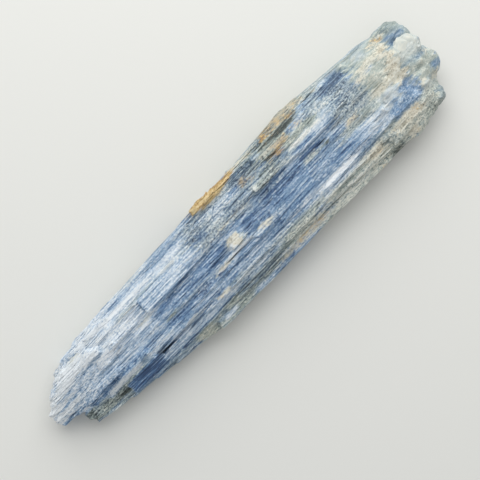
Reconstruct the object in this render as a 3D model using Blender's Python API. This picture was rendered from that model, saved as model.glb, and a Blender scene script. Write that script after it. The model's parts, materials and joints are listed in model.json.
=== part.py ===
"""Kyanite blade cluster: one mass of long blue blades grown side by side, lying on a flat cleavage face.

+X runs along the blades, from their splintery free ends at -X to the quartz and mica matrix at +X.
+Y is the rim with the ochre crust, +Z is up. The box is centred on the origin and stands on z = 0.
Sizes below are in millimetres; MM turns them into Blender's metres.
"""
import math
import random

import bmesh
import bpy
from mathutils import Matrix, Vector, noise
from numpy import interp

MM = 0.001
NAME = "kyanite_cluster"

# ---- driving dimensions ----
LENGTH = 110.0           # along the blades
WIDTH = 24.3             # across them, over the bulge of the rim
HEIGHT = 12.6            # crest of the matrix above the resting face
SEED = 43
REACH_STEP = 0.25        # how finely the ends of the plan are looked for
ROW_PITCH = 1.5          # from one row of blades to the next
ROW_DEPTH = 7.5          # how far a row's blades reach down into the mass
FIRST_ROW = -9.9         # the y of the row nearest the flank
ROWS = 14
SPLINTER = 0.84          # width of a splinter of the tip fan
SPLINTER_PITCH = 0.52    # from one splinter to the next
SIDE_BLADE = (1.8, 2.4)  # width and height of a blade that shows on a long side
UNDER_PITCH = 2.7        # from one blade of the resting face to the next
UNDER_WIDTH = 3.1
UNDER_TOP = 4.6          # how far up into the mass those blades reach
BELOW_REST = -0.8        # the underside before it is cut level
GROOVE = 0.45            # height of the shallow grooves in the resting face

# Plan of the cluster: the y of each long side at an x.
RIM_SIDE = ((-55.1, 1.6), (-54.6, 3.0), (-53.0, 4.4), (-51.5, 5.9), (-50.0, 6.6), (-48.8, 7.3), (-47.6, 8.7),
            (-44.0, 9.2), (-41.0, 9.6), (-37.0, 10.1), (-29.0, 10.6), (-20.0, 10.9), (-4.5, 11.2),
            (12.0, 11.5), (16.0, 11.7), (20.0, 12.2), (25.5, 12.6), (28.5, 12.3), (31.5, 11.7),
            (37.0, 11.0), (42.0, 10.4), (50.0, 10.2), (52.2, 9.7), (53.9, 8.4), (55.2, 3.5), (56.2, -1.4))
FLANK_SIDE = ((-55.1, 0.6), (-54.4, -0.6), (-50.1, -1.1), (-49.6, -3.2), (-48.5, -4.4), (-47.0, -5.4),
              (-45.0, -6.2), (-43.0, -6.8), (-38.0, -7.1), (-32.0, -7.8), (-30.0, -8.3), (-28.0, -8.6),
              (-21.6, -8.7), (-19.0, -10.1), (-16.0, -10.7), (-4.7, -11.1), (5.0, -11.5), (25.0, -11.8),
              (35.0, -12.0), (38.0, -12.1), (42.0, -11.9), (44.5, -11.7), (48.5, -10.9), (50.3, -10.2),
              (51.9, -8.2), (52.2, -6.4), (54.0, -4.9), (55.0, -4.3), (56.2, -1.5))
# Height of the crest along x, and how the upper surface falls from it across the cluster (0 flank, 1 rim).
CREST = ((-55.0, 4.2), (-50.0, 6.6), (-44.0, 8.6), (-36.0, 9.8), (-24.0, 10.6), (0.0, 11.4), (25.0, 11.9),
         (42.0, 11.9), (50.0, 10.6), (56.0, 7.0))
FALL = ((0.0, 0.42), (0.07, 0.56), (0.16, 0.74), (0.25, 0.88), (0.4, 0.93), (0.6, 0.97), (0.75, 1.0),
        (0.86, 0.95), (0.92, 0.78), (1.0, 0.62))
UNDERCUT = ((0.0, 2.6), (0.14, 0.9), (0.3, -1.0), (0.72, -1.0), (0.88, 0.9), (1.0, 2.8))


def side_y(side, x):
    """The y of one long side of the plan at x."""
    return float(interp(x, [p[0] for p in side], [p[1] for p in side]))


def across(x, y):
    """Where y lies between the flank side (0) and the rim side (1) at x."""
    low, high = side_y(FLANK_SIDE, x), side_y(RIM_SIDE, x)
    return (y - low) / max(high - low, 0.5)


def surface(x, y):
    """Height of the upper surface at a point of the plan."""
    crest = interp(x, [p[0] for p in CREST], [p[1] for p in CREST])
    return float(crest * interp(across(x, y), [p[0] for p in FALL], [p[1] for p in FALL]))


def underside(x, y):
    """Height of the lower surface; below zero where the cluster rests."""
    return float(interp(across(x, y), [p[0] for p in UNDERCUT], [p[1] for p in UNDERCUT]))


def reach(y, from_left):
    """The x where the plan begins (or ends) on the line at y."""
    steps = [-LENGTH / 2 + REACH_STEP * i for i in range(int(LENGTH / REACH_STEP) + 5)]
    if not from_left:
        steps.reverse()
    for x in steps:
        if side_y(FLANK_SIDE, x) <= y <= side_y(RIM_SIDE, x):
            return x
    return 0.0


# ---- shapes ----
def new_object(bm, name, into):
    """Put a bmesh, in millimetres, into a new object in metres."""
    bmesh.ops.scale(bm, vec=(MM, MM, MM), verts=bm.verts)
    bmesh.ops.recalc_face_normals(bm, faces=bm.faces)
    mesh = bpy.data.meshes.new(name)
    bm.to_mesh(mesh)
    bm.free()
    obj = bpy.data.objects.new(name, mesh)
    into.objects.link(obj)
    return obj


def hide(obj):
    """Mark an object as a helper that only the Boolean modifiers use."""
    obj.hide_render = True
    obj.display_type = "WIRE"


def blade(into, name, along, over, heights, start=(0.0, 0.0, 1.0), end=(0.0, 0.0, 1.0),
          yaw=0.0, pitch=0.0, roll=0.0, chamfer=0.0):
    """One flat-faced crystal between two places along x, two over the grain in y, and two heights.

    start and end each give the slant of that end in plan, its rake (how far the upper edge is set back) and
    the share of the width that is left there. The turns are in degrees, about the middle of its top."""
    bm = bmesh.new()
    bmesh.ops.create_cube(bm, size=1.0)
    length, width, depth = along[1] - along[0], over[1] - over[0], heights[1] - heights[0]
    for v in bm.verts:
        slant, rake, taper = start if v.co.x < 0 else end
        sign = 1.0 if v.co.x < 0 else -1.0
        shift = slant * v.co.y + (rake if v.co.z > 0 else 0.0)
        v.co = Vector((v.co.x * length + sign * shift, v.co.y * width * taper, (v.co.z - 0.5) * depth))
    if chamfer:
        edges = [e for e in bm.edges if all(v.co.z > -0.01 for v in e.verts)]
        bmesh.ops.bevel(bm, geom=edges, offset=chamfer, affect="EDGES", segments=1, profile=0.5,
                        material=-1)
    turn = (Matrix.Rotation(math.radians(yaw), 4, "Z") @ Matrix.Rotation(math.radians(pitch), 4, "Y")
            @ Matrix.Rotation(math.radians(roll), 4, "X"))
    place = Matrix.Translation((sum(along) / 2, sum(over) / 2, heights[1]))
    bmesh.ops.transform(bm, matrix=place @ turn, verts=bm.verts)
    obj = new_object(bm, name, into)
    hide(obj)
    return obj


def lump(into, name, centre, size, rough=0.16, detail=2, flat=0.0):
    """A broken, faceted lump of rock; its size is its full width each way. Detail 2 has 80 faces, 3 has 320."""
    bm = bmesh.new()
    bmesh.ops.create_icosphere(bm, subdivisions=detail, radius=0.5)
    here = Vector(centre)
    for v in bm.verts:
        grain = noise.noise(v.co * 3.1 + here) + 0.6 * noise.noise(v.co * 7.3 - here)
        v.co *= 1.0 + rough * 2.0 * grain
        if flat:
            v.co.z = min(v.co.z, 0.5 - flat)
    bmesh.ops.scale(bm, vec=size, verts=bm.verts)
    bmesh.ops.translate(bm, vec=here, verts=bm.verts)
    obj = new_object(bm, name, into)
    hide(obj)
    return obj


# ---- the crystals ----
def heart(into):
    """Broad blades inside the cluster that everything else is grown onto."""
    blade(into, "heart_upper", (-36.0, 50.0), (-4.2, 7.8), (0.9, 9.0), (2.0, 3.0, 0.6), (0.0, 2.0, 0.8))
    blade(into, "heart_lower", (-32.0, 48.5), (-8.6, 9.2), (0.9, 6.4), (6.0, 2.0, 0.7), (0.0, 2.0, 0.8))
    blade(into, "heart_tip", (-51.5, -20.0), (-3.4, 7.2), (0.9, 6.2), (0.8, 4.0, 0.4), pitch=-5.0)


def rows(into, rng):
    """The upper surface: rows of long blades side by side, each a little higher or lower than the next."""
    for row in range(ROWS):
        y = FIRST_ROW + ROW_PITCH * row
        x = reach(y, True) + rng.uniform(-0.2, 0.5)
        last = min(reach(y, False) - 1.5, 47.0)
        while x < last - 8.0:
            longest = 22.0 if x < -36.0 else 46.0
            length = min(rng.uniform(13.0, longest), last - x)
            middle = x + length / 2
            width = ROW_PITCH * rng.uniform(1.15, 1.6)
            step = rng.uniform(-0.32, 0.32)
            top = surface(middle, y) + step
            rise = math.degrees(math.atan2(surface(x + length, y) - surface(x, y), length))
            low = max(top - ROW_DEPTH, underside(middle, y))
            blade(into, "row_blade", (x, x + length), (y - width / 2, y + width / 2), (low, top),
                  (rng.uniform(-1.6, 1.6), rng.uniform(0.3, 1.6), rng.uniform(0.45, 0.95)),
                  (rng.uniform(-1.2, 1.2), rng.uniform(0.3, 1.2), rng.uniform(0.5, 1.0)),
                  yaw=rng.uniform(-0.8, 0.8), pitch=-rise, roll=rng.uniform(-9.0, 9.0))
            x += length * rng.uniform(0.78, 0.94)


def tip_fan(into, rng):
    """Thin splinters, in two layers, that end one after another at the free end."""
    for layer, lift in (("upper", 0.0), ("lower", -1.5)):
        for i in range(11):
            y = 0.9 + SPLINTER_PITCH * i
            x = reach(y, True) + rng.uniform(-0.1, 0.5)
            top = surface(x + 5.0, y) + lift - rng.uniform(0.0, 0.4)
            blade(into, "tip_" + layer, (x, x + rng.uniform(8.0, 14.0)),
                  (y - SPLINTER / 2, y + SPLINTER / 2), (top - 1.5, top),
                  (rng.uniform(-0.5, 0.5), rng.uniform(0.2, 1.4), rng.uniform(0.3, 0.9)),
                  yaw=rng.uniform(-1.5, 1.5), pitch=-5.0, roll=rng.uniform(-14.0, 14.0))


def side_blades(into, rng):
    """Blades that show on the two long sides, each turned its own way about the grain."""
    for side, outward in ((FLANK_SIDE, -1.0), (RIM_SIDE, 1.0)):
        for level, inset in ((1.7, 1.9), (3.3, 1.5), (4.9, 1.4)):
            x = -49.0 + rng.uniform(0.0, 4.0)
            while x < 38.0:
                length = min(rng.uniform(12.0, 34.0), 47.0 - x)
                middle = x + length / 2
                y = side_y(side, middle) - outward * (inset + rng.uniform(0.0, 0.5))
                swing = math.degrees(math.atan2(side_y(side, x + length) - side_y(side, x), length))
                top = min(level + rng.uniform(0.5, 1.4), surface(middle, y) - 0.3)
                blade(into, "side_blade", (x, x + length), (y - SIDE_BLADE[0] / 2, y + SIDE_BLADE[0] / 2),
                      (top - SIDE_BLADE[1], top),
                      (rng.uniform(-1.5, 1.5), rng.uniform(0.2, 1.2), 0.6),
                      (rng.uniform(-1.5, 1.5), rng.uniform(0.2, 1.2), 0.7),
                      yaw=swing * 0.8, pitch=rng.uniform(-1.2, 1.2), roll=rng.uniform(-32.0, 32.0))
                x += length * rng.uniform(0.7, 1.0)


def under_blades(into, rng):
    """The flat cleavage face that the cluster rests on, with shallow grooves between its blades."""
    for i in range(6):
        y = -7.2 + UNDER_PITCH * i
        x = reach(y, True) + 5.0
        last = reach(y, False) - 3.5
        middle = x + (last - x) * rng.uniform(0.35, 0.65)
        for x0, x1, low in ((x, middle + 3.0, BELOW_REST),
                            (middle, last, GROOVE if i in (1, 4) else BELOW_REST)):
            blade(into, "under_blade", (x0, x1), (y - UNDER_WIDTH / 2, y + UNDER_WIDTH / 2),
                  (low, UNDER_TOP),
                  (rng.uniform(-2.0, 2.0), -1.6, 0.7), (rng.uniform(-2.0, 2.0), -1.6, 0.8),
                  yaw=rng.uniform(-0.5, 0.5))


def named_blades(into):
    """The blades, plates and ledges that someone would point out."""
    # rim ledge, lower than the main face
    blade(into, "rim_ledge_left", (-46.0, -22.0), (7.0, 9.6), (2.2, 7.2), (4.8, 0.8, 1.0), yaw=1.2,
          roll=-8)
    blade(into, "rim_ledge_middle", (-38.0, -4.0), (8.0, 10.6), (2.6, 8.0), (5.0, 1.2, 1.0), yaw=0.5,
          roll=-6)
    blade(into, "rim_ledge_right", (5.0, 41.0), (8.2, 11.6), (2.6, 8.7), (1.0, 1.0, 0.8), (1, 1, 0.9),
          yaw=-1.6)
    blade(into, "rim_start", (-45.4, -33.0), (8.1, 10.0), (3.2, 6.9), (0.5, 0.8, 1.0), (0.0, 0.6, 0.8),
          yaw=5.0, roll=-6)
    lump(into, "rim_bulge", (24.2, 10.5, 6.4), (15.0, 4.2, 7.4), 0.05, 3, 0.04)
    # pale plate with a square-cut end
    blade(into, "square_plate", (-24.3, 2.0), (2.5, 6.5), (6.0, 11.3), (0.2, 0.1, 1.0), (1.0, 1.5, 0.6),
          pitch=-0.8, roll=-2, chamfer=0.25)
    # raised white blade with a rounded end
    blade(into, "white_blade", (7.5, 31.4), (2.9, 5.9), (7.0, 12.4), (1.4, 1.2, 0.5), (0.0, 0.4, 0.8),
          yaw=-0.6, roll=-3, chamfer=0.3)
    lump(into, "white_blade_end", (30.6, 4.1, 11.1), (4.0, 2.5, 2.4), 0.05, 2, 0.02)
    # broad blue plates of the main face
    blade(into, "blue_plate_left", (-20.4, 8.4), (-2.1, 1.5), (6.0, 11.0), (1.5, 0.8, 0.5), (0.5, 0.8, 0.7),
          pitch=-0.6, roll=2, chamfer=0.2)
    blade(into, "blue_plate_middle", (1.0, 18.6), (-3.9, 1.2), (6.0, 11.5), (-1.0, 0.8, 0.6),
          (0.4, 0.5, 0.85), roll=3, chamfer=0.25)
    blade(into, "blue_plate_right", (17.5, 34.0), (-4.0, 0.6), (6.0, 11.2), (0.0, 0.4, 0.9),
          (1.0, 1.0, 0.7), roll=4)
    # long ridge beside the blue blade, and its pointed neighbours
    blade(into, "ridge_long", (-42.6, -11.2), (-4.0, -2.5), (4.0, 9.0), (0.6, 1.0, 0.4), (0.4, 1.2, 0.4),
          yaw=-0.9, pitch=-1.6, roll=4)
    blade(into, "ridge_pointed", (-28.2, -7.8), (-6.9, -5.0), (3.0, 8.3), (1.2, 1.6, 0.25), (0.5, 1.0, 0.5),
          yaw=-0.8, roll=6, chamfer=0.2)
    blade(into, "white_splinter", (-20.5, -15.6), (-4.6, -4.0), (6.0, 9.5), (0.2, 1.8, 0.2), yaw=-2.0)
    # deep blue rectangular blade on a lower level
    blade(into, "deep_blue_blade", (-37.8, -26.2), (-6.9, -4.2), (1.6, 7.5), (0.2, 0.15, 1.0), roll=3,
          chamfer=0.15)
    # outermost splinter of the free end
    blade(into, "tip_edge", (-54.4, -43.0), (-1.4, 0.2), (1.0, 4.5), (0.4, 0.6, 0.6), yaw=-0.5, pitch=-4.0,
          roll=8)
    # low olive mass under the free end
    blade(into, "olive_step", (-48.6, -36.0), (-5.6, -1.8), (0.6, 5.6), (1.6, 0.9, 0.45), yaw=-4.0, roll=5)
    lump(into, "olive_nose", (-45.4, -4.0, 3.2), (6.6, 4.2, 4.4), 0.10, 2)
    blade(into, "olive_end", (-49.4, -42.0), (-4.5, -2.4), (0.8, 5.3), (-0.3, 0.5, 0.9), (0.6, 0.8, 0.7),
          yaw=-3.0, roll=6)
    blade(into, "olive_edge", (-45.5, -33.0), (-7.3, -4.4), (0.9, 5.4), (1.8, 0.8, 0.4), yaw=-3.0, roll=8)
    # splintery fringe on the flank
    blade(into, "fringe_a", (-33.5, -20.0), (-8.4, -6.3), (1.6, 6.2), (1.0, 1.4, 0.3), yaw=-2.0, roll=8)
    blade(into, "fringe_b", (-28.5, -13.0), (-8.9, -6.9), (1.6, 5.6), (1.0, 1.8, 0.3), yaw=-1.5, roll=6)
    blade(into, "fringe_c", (-17.0, 9.0), (-11.2, -8.5), (2.0, 6.5), (1.2, 1.2, 0.9), (1.0, 1.0, 0.7),
          yaw=-0.5, roll=14)
    blade(into, "fringe_d", (4.0, 37.0), (-11.9, -8.7), (2.2, 7.1), (1.0, 1.5, 0.5), (0.6, 1.0, 0.7),
          yaw=-0.8, roll=14)
    # thin flakes lying on the face
    blade(into, "cream_flake", (-2.8, 0.9), (-0.6, 1.7), (10.0, 11.7), (0.8, 0.2, 0.9), (-0.6, 0.2, 0.7),
          roll=-3)
    blade(into, "tan_flake", (14.3, 21.6), (7.4, 9.2), (8.0, 11.6), (0.3, 0.3, 0.95), (-0.5, 0.4, 0.8),
          roll=-4)


def matrix_lumps(into, rng):
    """Quartz, feldspar and mica of the host rock at the +X end, and crumbs of it along the flank."""
    lump(into, "matrix_main", (43.6, 3.4, 6.4), (19.0, 13.4, 11.6), 0.07, 3, 0.03)
    lump(into, "matrix_flank", (42.2, -5.6, 5.1), (17.4, 12.4, 9.6), 0.09, 3, 0.05)
    lump(into, "matrix_end", (48.8, -0.4, 5.2), (12.8, 11.0, 9.8), 0.10, 3)
    lump(into, "quartz_lump", (51.2, 2.5, 7.2), (8.6, 5.6, 6.6), 0.06, 2)
    lump(into, "blue_knob", (52.2, 5.2, 6.4), (6.0, 5.4, 7.6), 0.06, 2)
    lump(into, "corner_knob", (50.2, 7.3, 5.8), (9.2, 5.8, 7.4), 0.04, 2)
    lump(into, "rim_knob", (43.6, 8.6, 5.6), (7.4, 4.3, 7.2), 0.12, 2)
    lump(into, "end_knob", (53.1, -2.4, 4.8), (6.0, 6.6, 5.8), 0.09, 2)
    lump(into, "end_foot", (50.4, -5.6, 3.8), (5.2, 5.0, 5.0), 0.08, 2)
    lump(into, "low_knob", (49.4, -8.6, 4.4), (5.2, 4.8, 5.8), 0.12, 2)
    lump(into, "foot_lump", (46.0, 0.5, 2.4), (12.0, 15.0, 6.4), 0.08, 2)
    for _ in range(16):
        x, y = rng.uniform(32.0, 51.0), rng.uniform(-9.8, 8.6)
        size = rng.uniform(2.0, 3.8)
        lump(into, "matrix_grain", (x, y, surface(x, y) - 0.38 * size),
             (size * rng.uniform(1.0, 1.6), size, size * 1.1), 0.2, 2)
    # crumbs on the flank
    lump(into, "cream_crumb", (-18.9, -8.3, 4.1), (6.2, 3.4, 3.6), 0.16, 2)
    lump(into, "flank_crumb", (-8.5, -8.6, 5.4), (5.4, 2.6, 3.0), 0.16, 2)
    lump(into, "flank_crumb", (30.5, -9.0, 6.0), (8.0, 3.8, 4.6), 0.18, 2)
    lump(into, "flank_crumb", (12.0, -9.2, 5.6), (6.0, 2.8, 3.4), 0.18, 2)


def ochre_crust(into):
    """Iron-stained crust on the rim."""
    blade(into, "ochre_crust", (-3.7, 5.4), (9.8, 12.1), (4.0, 9.4), (0.5, 0.3, 0.8), (0.8, 1.0, 0.7),
          yaw=-0.8, roll=-8, chamfer=0.3)
    blade(into, "ochre_foot", (2.0, 8.0), (9.6, 11.8), (3.6, 8.7), (0.6, 0.6, 0.8), (0.4, 0.9, 0.7), roll=-6,
          chamfer=0.25)
    lump(into, "crust_lump", (-1.8, 10.7, 8.6), (3.8, 2.2, 2.2), 0.14, 2)
    lump(into, "crust_lump", (2.6, 10.5, 8.7), (3.4, 2.4, 1.9), 0.14, 2)
    lump(into, "rust_lump", (17.6, 10.6, 8.4), (5.2, 2.6, 3.6), 0.12, 2)
    lump(into, "rust_lump", (24.6, 10.9, 8.6), (7.0, 2.4, 3.2), 0.12, 2)


def cut_aways(into):
    """What is open: the air under the resting plane, and the pits between blades."""
    blade(into, "floor", (-70.0, 70.0), (-30.0, 30.0), (-10.0, 0.0))
    blade(into, "dark_cavity", (-28.4, -25.2), (-5.2, -4.2), (5.2, 12.0), (0.3, 0, 0.5), yaw=-2)
    blade(into, "gap_long", (-8.8, 0.6), (-7.9, -7.3), (6.4, 12.0), (0, 0, 0.4), (0, 0, 0.4))
    blade(into, "gap_middle", (-16.8, -10.4), (-7.5, -7.0), (6.2, 12.0), (0, 0, 0.4), (0, 0, 0.4))
    blade(into, "olive_pocket", (24.0, 26.8), (0.9, 2.1), (10.5, 14.0), (0.5, -0.4, 0.5), (0.5, -0.4, 0.5))
    blade(into, "shadow_groove", (1.0, 26.0), (1.9, 2.3), (10.7, 14.0), (0, 0, 0.4), (0, 0, 0.6))
    blade(into, "deep_groove", (-22.0, -2.0), (1.7, 2.2), (10.3, 14.0), (0, 0, 0.4), (0, 0, 0.4))
    blade(into, "flank_cavity", (34.0, 37.0), (-12.6, -10.2), (4.4, 12.0), (0.4, 0, 0.6), (0.4, 0, 0.6))


# ---- assembly ----
def kyanite_material():
    """Pale grey-blue, pearly stone."""
    material = bpy.data.materials.new("kyanite")
    material.use_nodes = True
    shader = material.node_tree.nodes["Principled BSDF"]
    shader.inputs["Base Color"].default_value = (0.36, 0.46, 0.62, 1.0)
    shader.inputs["Roughness"].default_value = 0.5
    shader.inputs["Metallic"].default_value = 0.0
    material.diffuse_color = (0.36, 0.46, 0.62, 1.0)
    return material


def boolean(obj, operation, collection):
    """Add an exact Boolean with every object of a collection."""
    modifier = obj.modifiers.new(operation.lower(), "BOOLEAN")
    modifier.operation = operation
    modifier.solver = "EXACT"
    modifier.operand_type = "COLLECTION"
    modifier.collection = collection


def outer_shell(bm):
    """Delete the walls of any void shut in between blades, so that the crystal is solid inside."""
    seen, shells = set(), []
    for seed in bm.verts:
        if seed in seen:
            continue
        shell, front = [], [seed]
        seen.add(seed)
        while front:
            vert = front.pop()
            shell.append(vert)
            for edge in vert.link_edges:
                other = edge.other_vert(vert)
                if other not in seen:
                    seen.add(other)
                    front.append(other)
        shells.append(shell)
    shells.sort(key=len)
    inner = [vert for shell in shells[:-1] for vert in shell]
    bmesh.ops.delete(bm, geom=inner, context="VERTS")


def settle(obj):
    """Apply the modifiers, keep the outer shell, bring the box to the driving size and centre it."""
    depsgraph = bpy.context.evaluated_depsgraph_get()
    mesh = bpy.data.meshes.new_from_object(obj.evaluated_get(depsgraph))
    obj.modifiers.clear()
    obj.data = mesh
    bm = bmesh.new()
    bm.from_mesh(mesh)
    outer_shell(bm)
    low = Vector([min(v.co[i] for v in bm.verts) for i in range(3)])
    high = Vector([max(v.co[i] for v in bm.verts) for i in range(3)])
    size = high - low
    scale = [target * MM / size[i] for i, target in enumerate((LENGTH, WIDTH, HEIGHT))]
    bmesh.ops.translate(bm, vec=(-(low.x + high.x) / 2, -(low.y + high.y) / 2, -low.z), verts=bm.verts)
    bmesh.ops.scale(bm, vec=scale, verts=bm.verts)
    bm.to_mesh(mesh)
    bm.free()


def main():
    for obj in list(bpy.data.objects):
        bpy.data.objects.remove(obj)
    scene = bpy.context.scene
    part = bpy.data.collections.new(NAME)
    grown = bpy.data.collections.new("grown_together")
    cutters = bpy.data.collections.new("cutters")
    for collection in (part, grown, cutters):
        scene.collection.children.link(collection)
    rng = random.Random(SEED)
    heart(grown)
    rows(grown, rng)
    tip_fan(grown, rng)
    side_blades(grown, rng)
    under_blades(grown, rng)
    named_blades(grown)
    matrix_lumps(grown, rng)
    ochre_crust(grown)
    cut_aways(cutters)

    cluster = blade(part, NAME, (-40.0, 46.0), (-2.0, 6.0), (1.4, 7.0), (1.0, 1.0, 0.6))
    cluster.hide_render = False
    cluster.display_type = "TEXTURED"
    cluster.data.materials.append(kyanite_material())
    boolean(cluster, "UNION", grown)
    boolean(cluster, "DIFFERENCE", cutters)
    settle(cluster)


main()
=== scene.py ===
"""Kyanite blade cluster: the finish of its blades, matrix and crust, and a plain studio stage."""
import json
import math
import random

import bmesh
import bpy
from bpy.props import FloatProperty, FloatVectorProperty, IntProperty, PointerProperty
from mathutils import Matrix, Vector, noise
from mathutils.bvhtree import BVHTree

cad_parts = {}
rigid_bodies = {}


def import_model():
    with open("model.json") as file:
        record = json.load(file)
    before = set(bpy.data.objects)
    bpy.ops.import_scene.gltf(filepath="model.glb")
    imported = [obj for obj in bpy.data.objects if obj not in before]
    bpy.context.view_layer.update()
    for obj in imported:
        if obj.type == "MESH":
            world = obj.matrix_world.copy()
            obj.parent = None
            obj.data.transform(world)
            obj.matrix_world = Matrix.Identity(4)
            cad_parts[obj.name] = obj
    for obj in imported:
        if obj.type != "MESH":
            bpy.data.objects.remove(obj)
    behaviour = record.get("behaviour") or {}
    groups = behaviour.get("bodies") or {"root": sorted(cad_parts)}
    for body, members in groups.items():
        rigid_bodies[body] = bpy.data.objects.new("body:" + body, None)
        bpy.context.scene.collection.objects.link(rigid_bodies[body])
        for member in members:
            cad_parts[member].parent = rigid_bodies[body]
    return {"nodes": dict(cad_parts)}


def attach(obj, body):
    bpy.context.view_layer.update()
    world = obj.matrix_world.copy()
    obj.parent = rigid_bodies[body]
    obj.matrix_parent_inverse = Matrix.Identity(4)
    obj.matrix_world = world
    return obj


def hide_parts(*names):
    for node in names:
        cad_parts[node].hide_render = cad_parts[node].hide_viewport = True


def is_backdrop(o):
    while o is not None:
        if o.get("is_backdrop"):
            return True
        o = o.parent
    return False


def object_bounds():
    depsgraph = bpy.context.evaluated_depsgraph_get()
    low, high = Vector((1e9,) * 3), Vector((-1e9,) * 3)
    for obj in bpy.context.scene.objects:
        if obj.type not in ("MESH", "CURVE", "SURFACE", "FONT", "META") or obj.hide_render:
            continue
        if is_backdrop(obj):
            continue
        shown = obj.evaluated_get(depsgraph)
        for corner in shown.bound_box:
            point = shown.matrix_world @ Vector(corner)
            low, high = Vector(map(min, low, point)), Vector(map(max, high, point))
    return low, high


bl_info = {
    "name": "Kyanite blade cluster",
    "version": (1, 0, 0),
    "blender": (4, 5, 0),
    "location": "View3D > Sidebar > Kyanite",
    "description": "Dresses a kyanite blade cluster: crystal, plates, splinters, matrix, crust and stage",
    "category": "Object",
}

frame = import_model()
CAD_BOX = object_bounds()
MM = 0.001
NODE = "kyanite_cluster"
BODY = "root"
MATRIX_X = 33.0          # past this x, in mm, the solid is remeshed in nearly square cells
ROCK_START = 29.0        # past this x, in mm, the host rock begins to show between the blades
ROCK_WHOLE = 40.0        # past this x, in mm, there are no loose blades on it
BLADE_SQUEEZE = 0.36     # the blades are shortened to this share while they are remeshed, for long cells
ROCK_SQUEEZE = 0.75      # and the matrix to this
HOLLOW = 0.40            # edge_shape's value below which a place on the mass is a hollow, to be softened
SKIN = 0.04              # how far the relief's middle level is sunk into the solid, in mm
FOOT = 0.8               # the relief fades out over this height above the ground, in mm
PLATE_ROOT = 0.45        # how deep a plate reaches into the mass, in mm
SPLINTER_ROOT = 0.30     # and a splinter or fibre, in mm
SPLINTER_SPIN = 10.0     # how far most of them are turned about their own length, in degrees
SAG = 0.4                # how far the mass may rise or dip midway under one of them, in mm
PLATE_MARGINS = (0.3, 0.2)               # how far inside a plate's ends and sides its bed is felt, in mm
OUTSIDE = 0.05           # a height and a distance to the side that are past the mass, in metres
GROUND_HALF = 1.5        # half the side of the ground, in metres
AIM = (-0.00104, -0.000395, 0.006)       # the place that the camera looks straight down on, in metres

# ---- the fields that loose pieces are laid in: x from, x to, y from, y to (mm) ----
FLAKE_FIELD = (-50, 42, -10, 11)
CRUMB_FIELD = (-9, 15, 3.2, 9.6)
SPLINTER_FIELD = (-50, 44, -10.8, 11.4)
TIP_FIELD = (-54.8, -42, -3.2, 8.6)
MATRIX_FIELD = (37, 53.5, -6.5, 10)
FLANK_FIELD = (27, 50, -11, -6.4)
CRUST_FIELD = (-4.2, 7.2, 10.4, 11.9)
SIDE_FIELD = (-50, 46, 0.8, 9.5)         # but z from, z to for the two long sides

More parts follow.
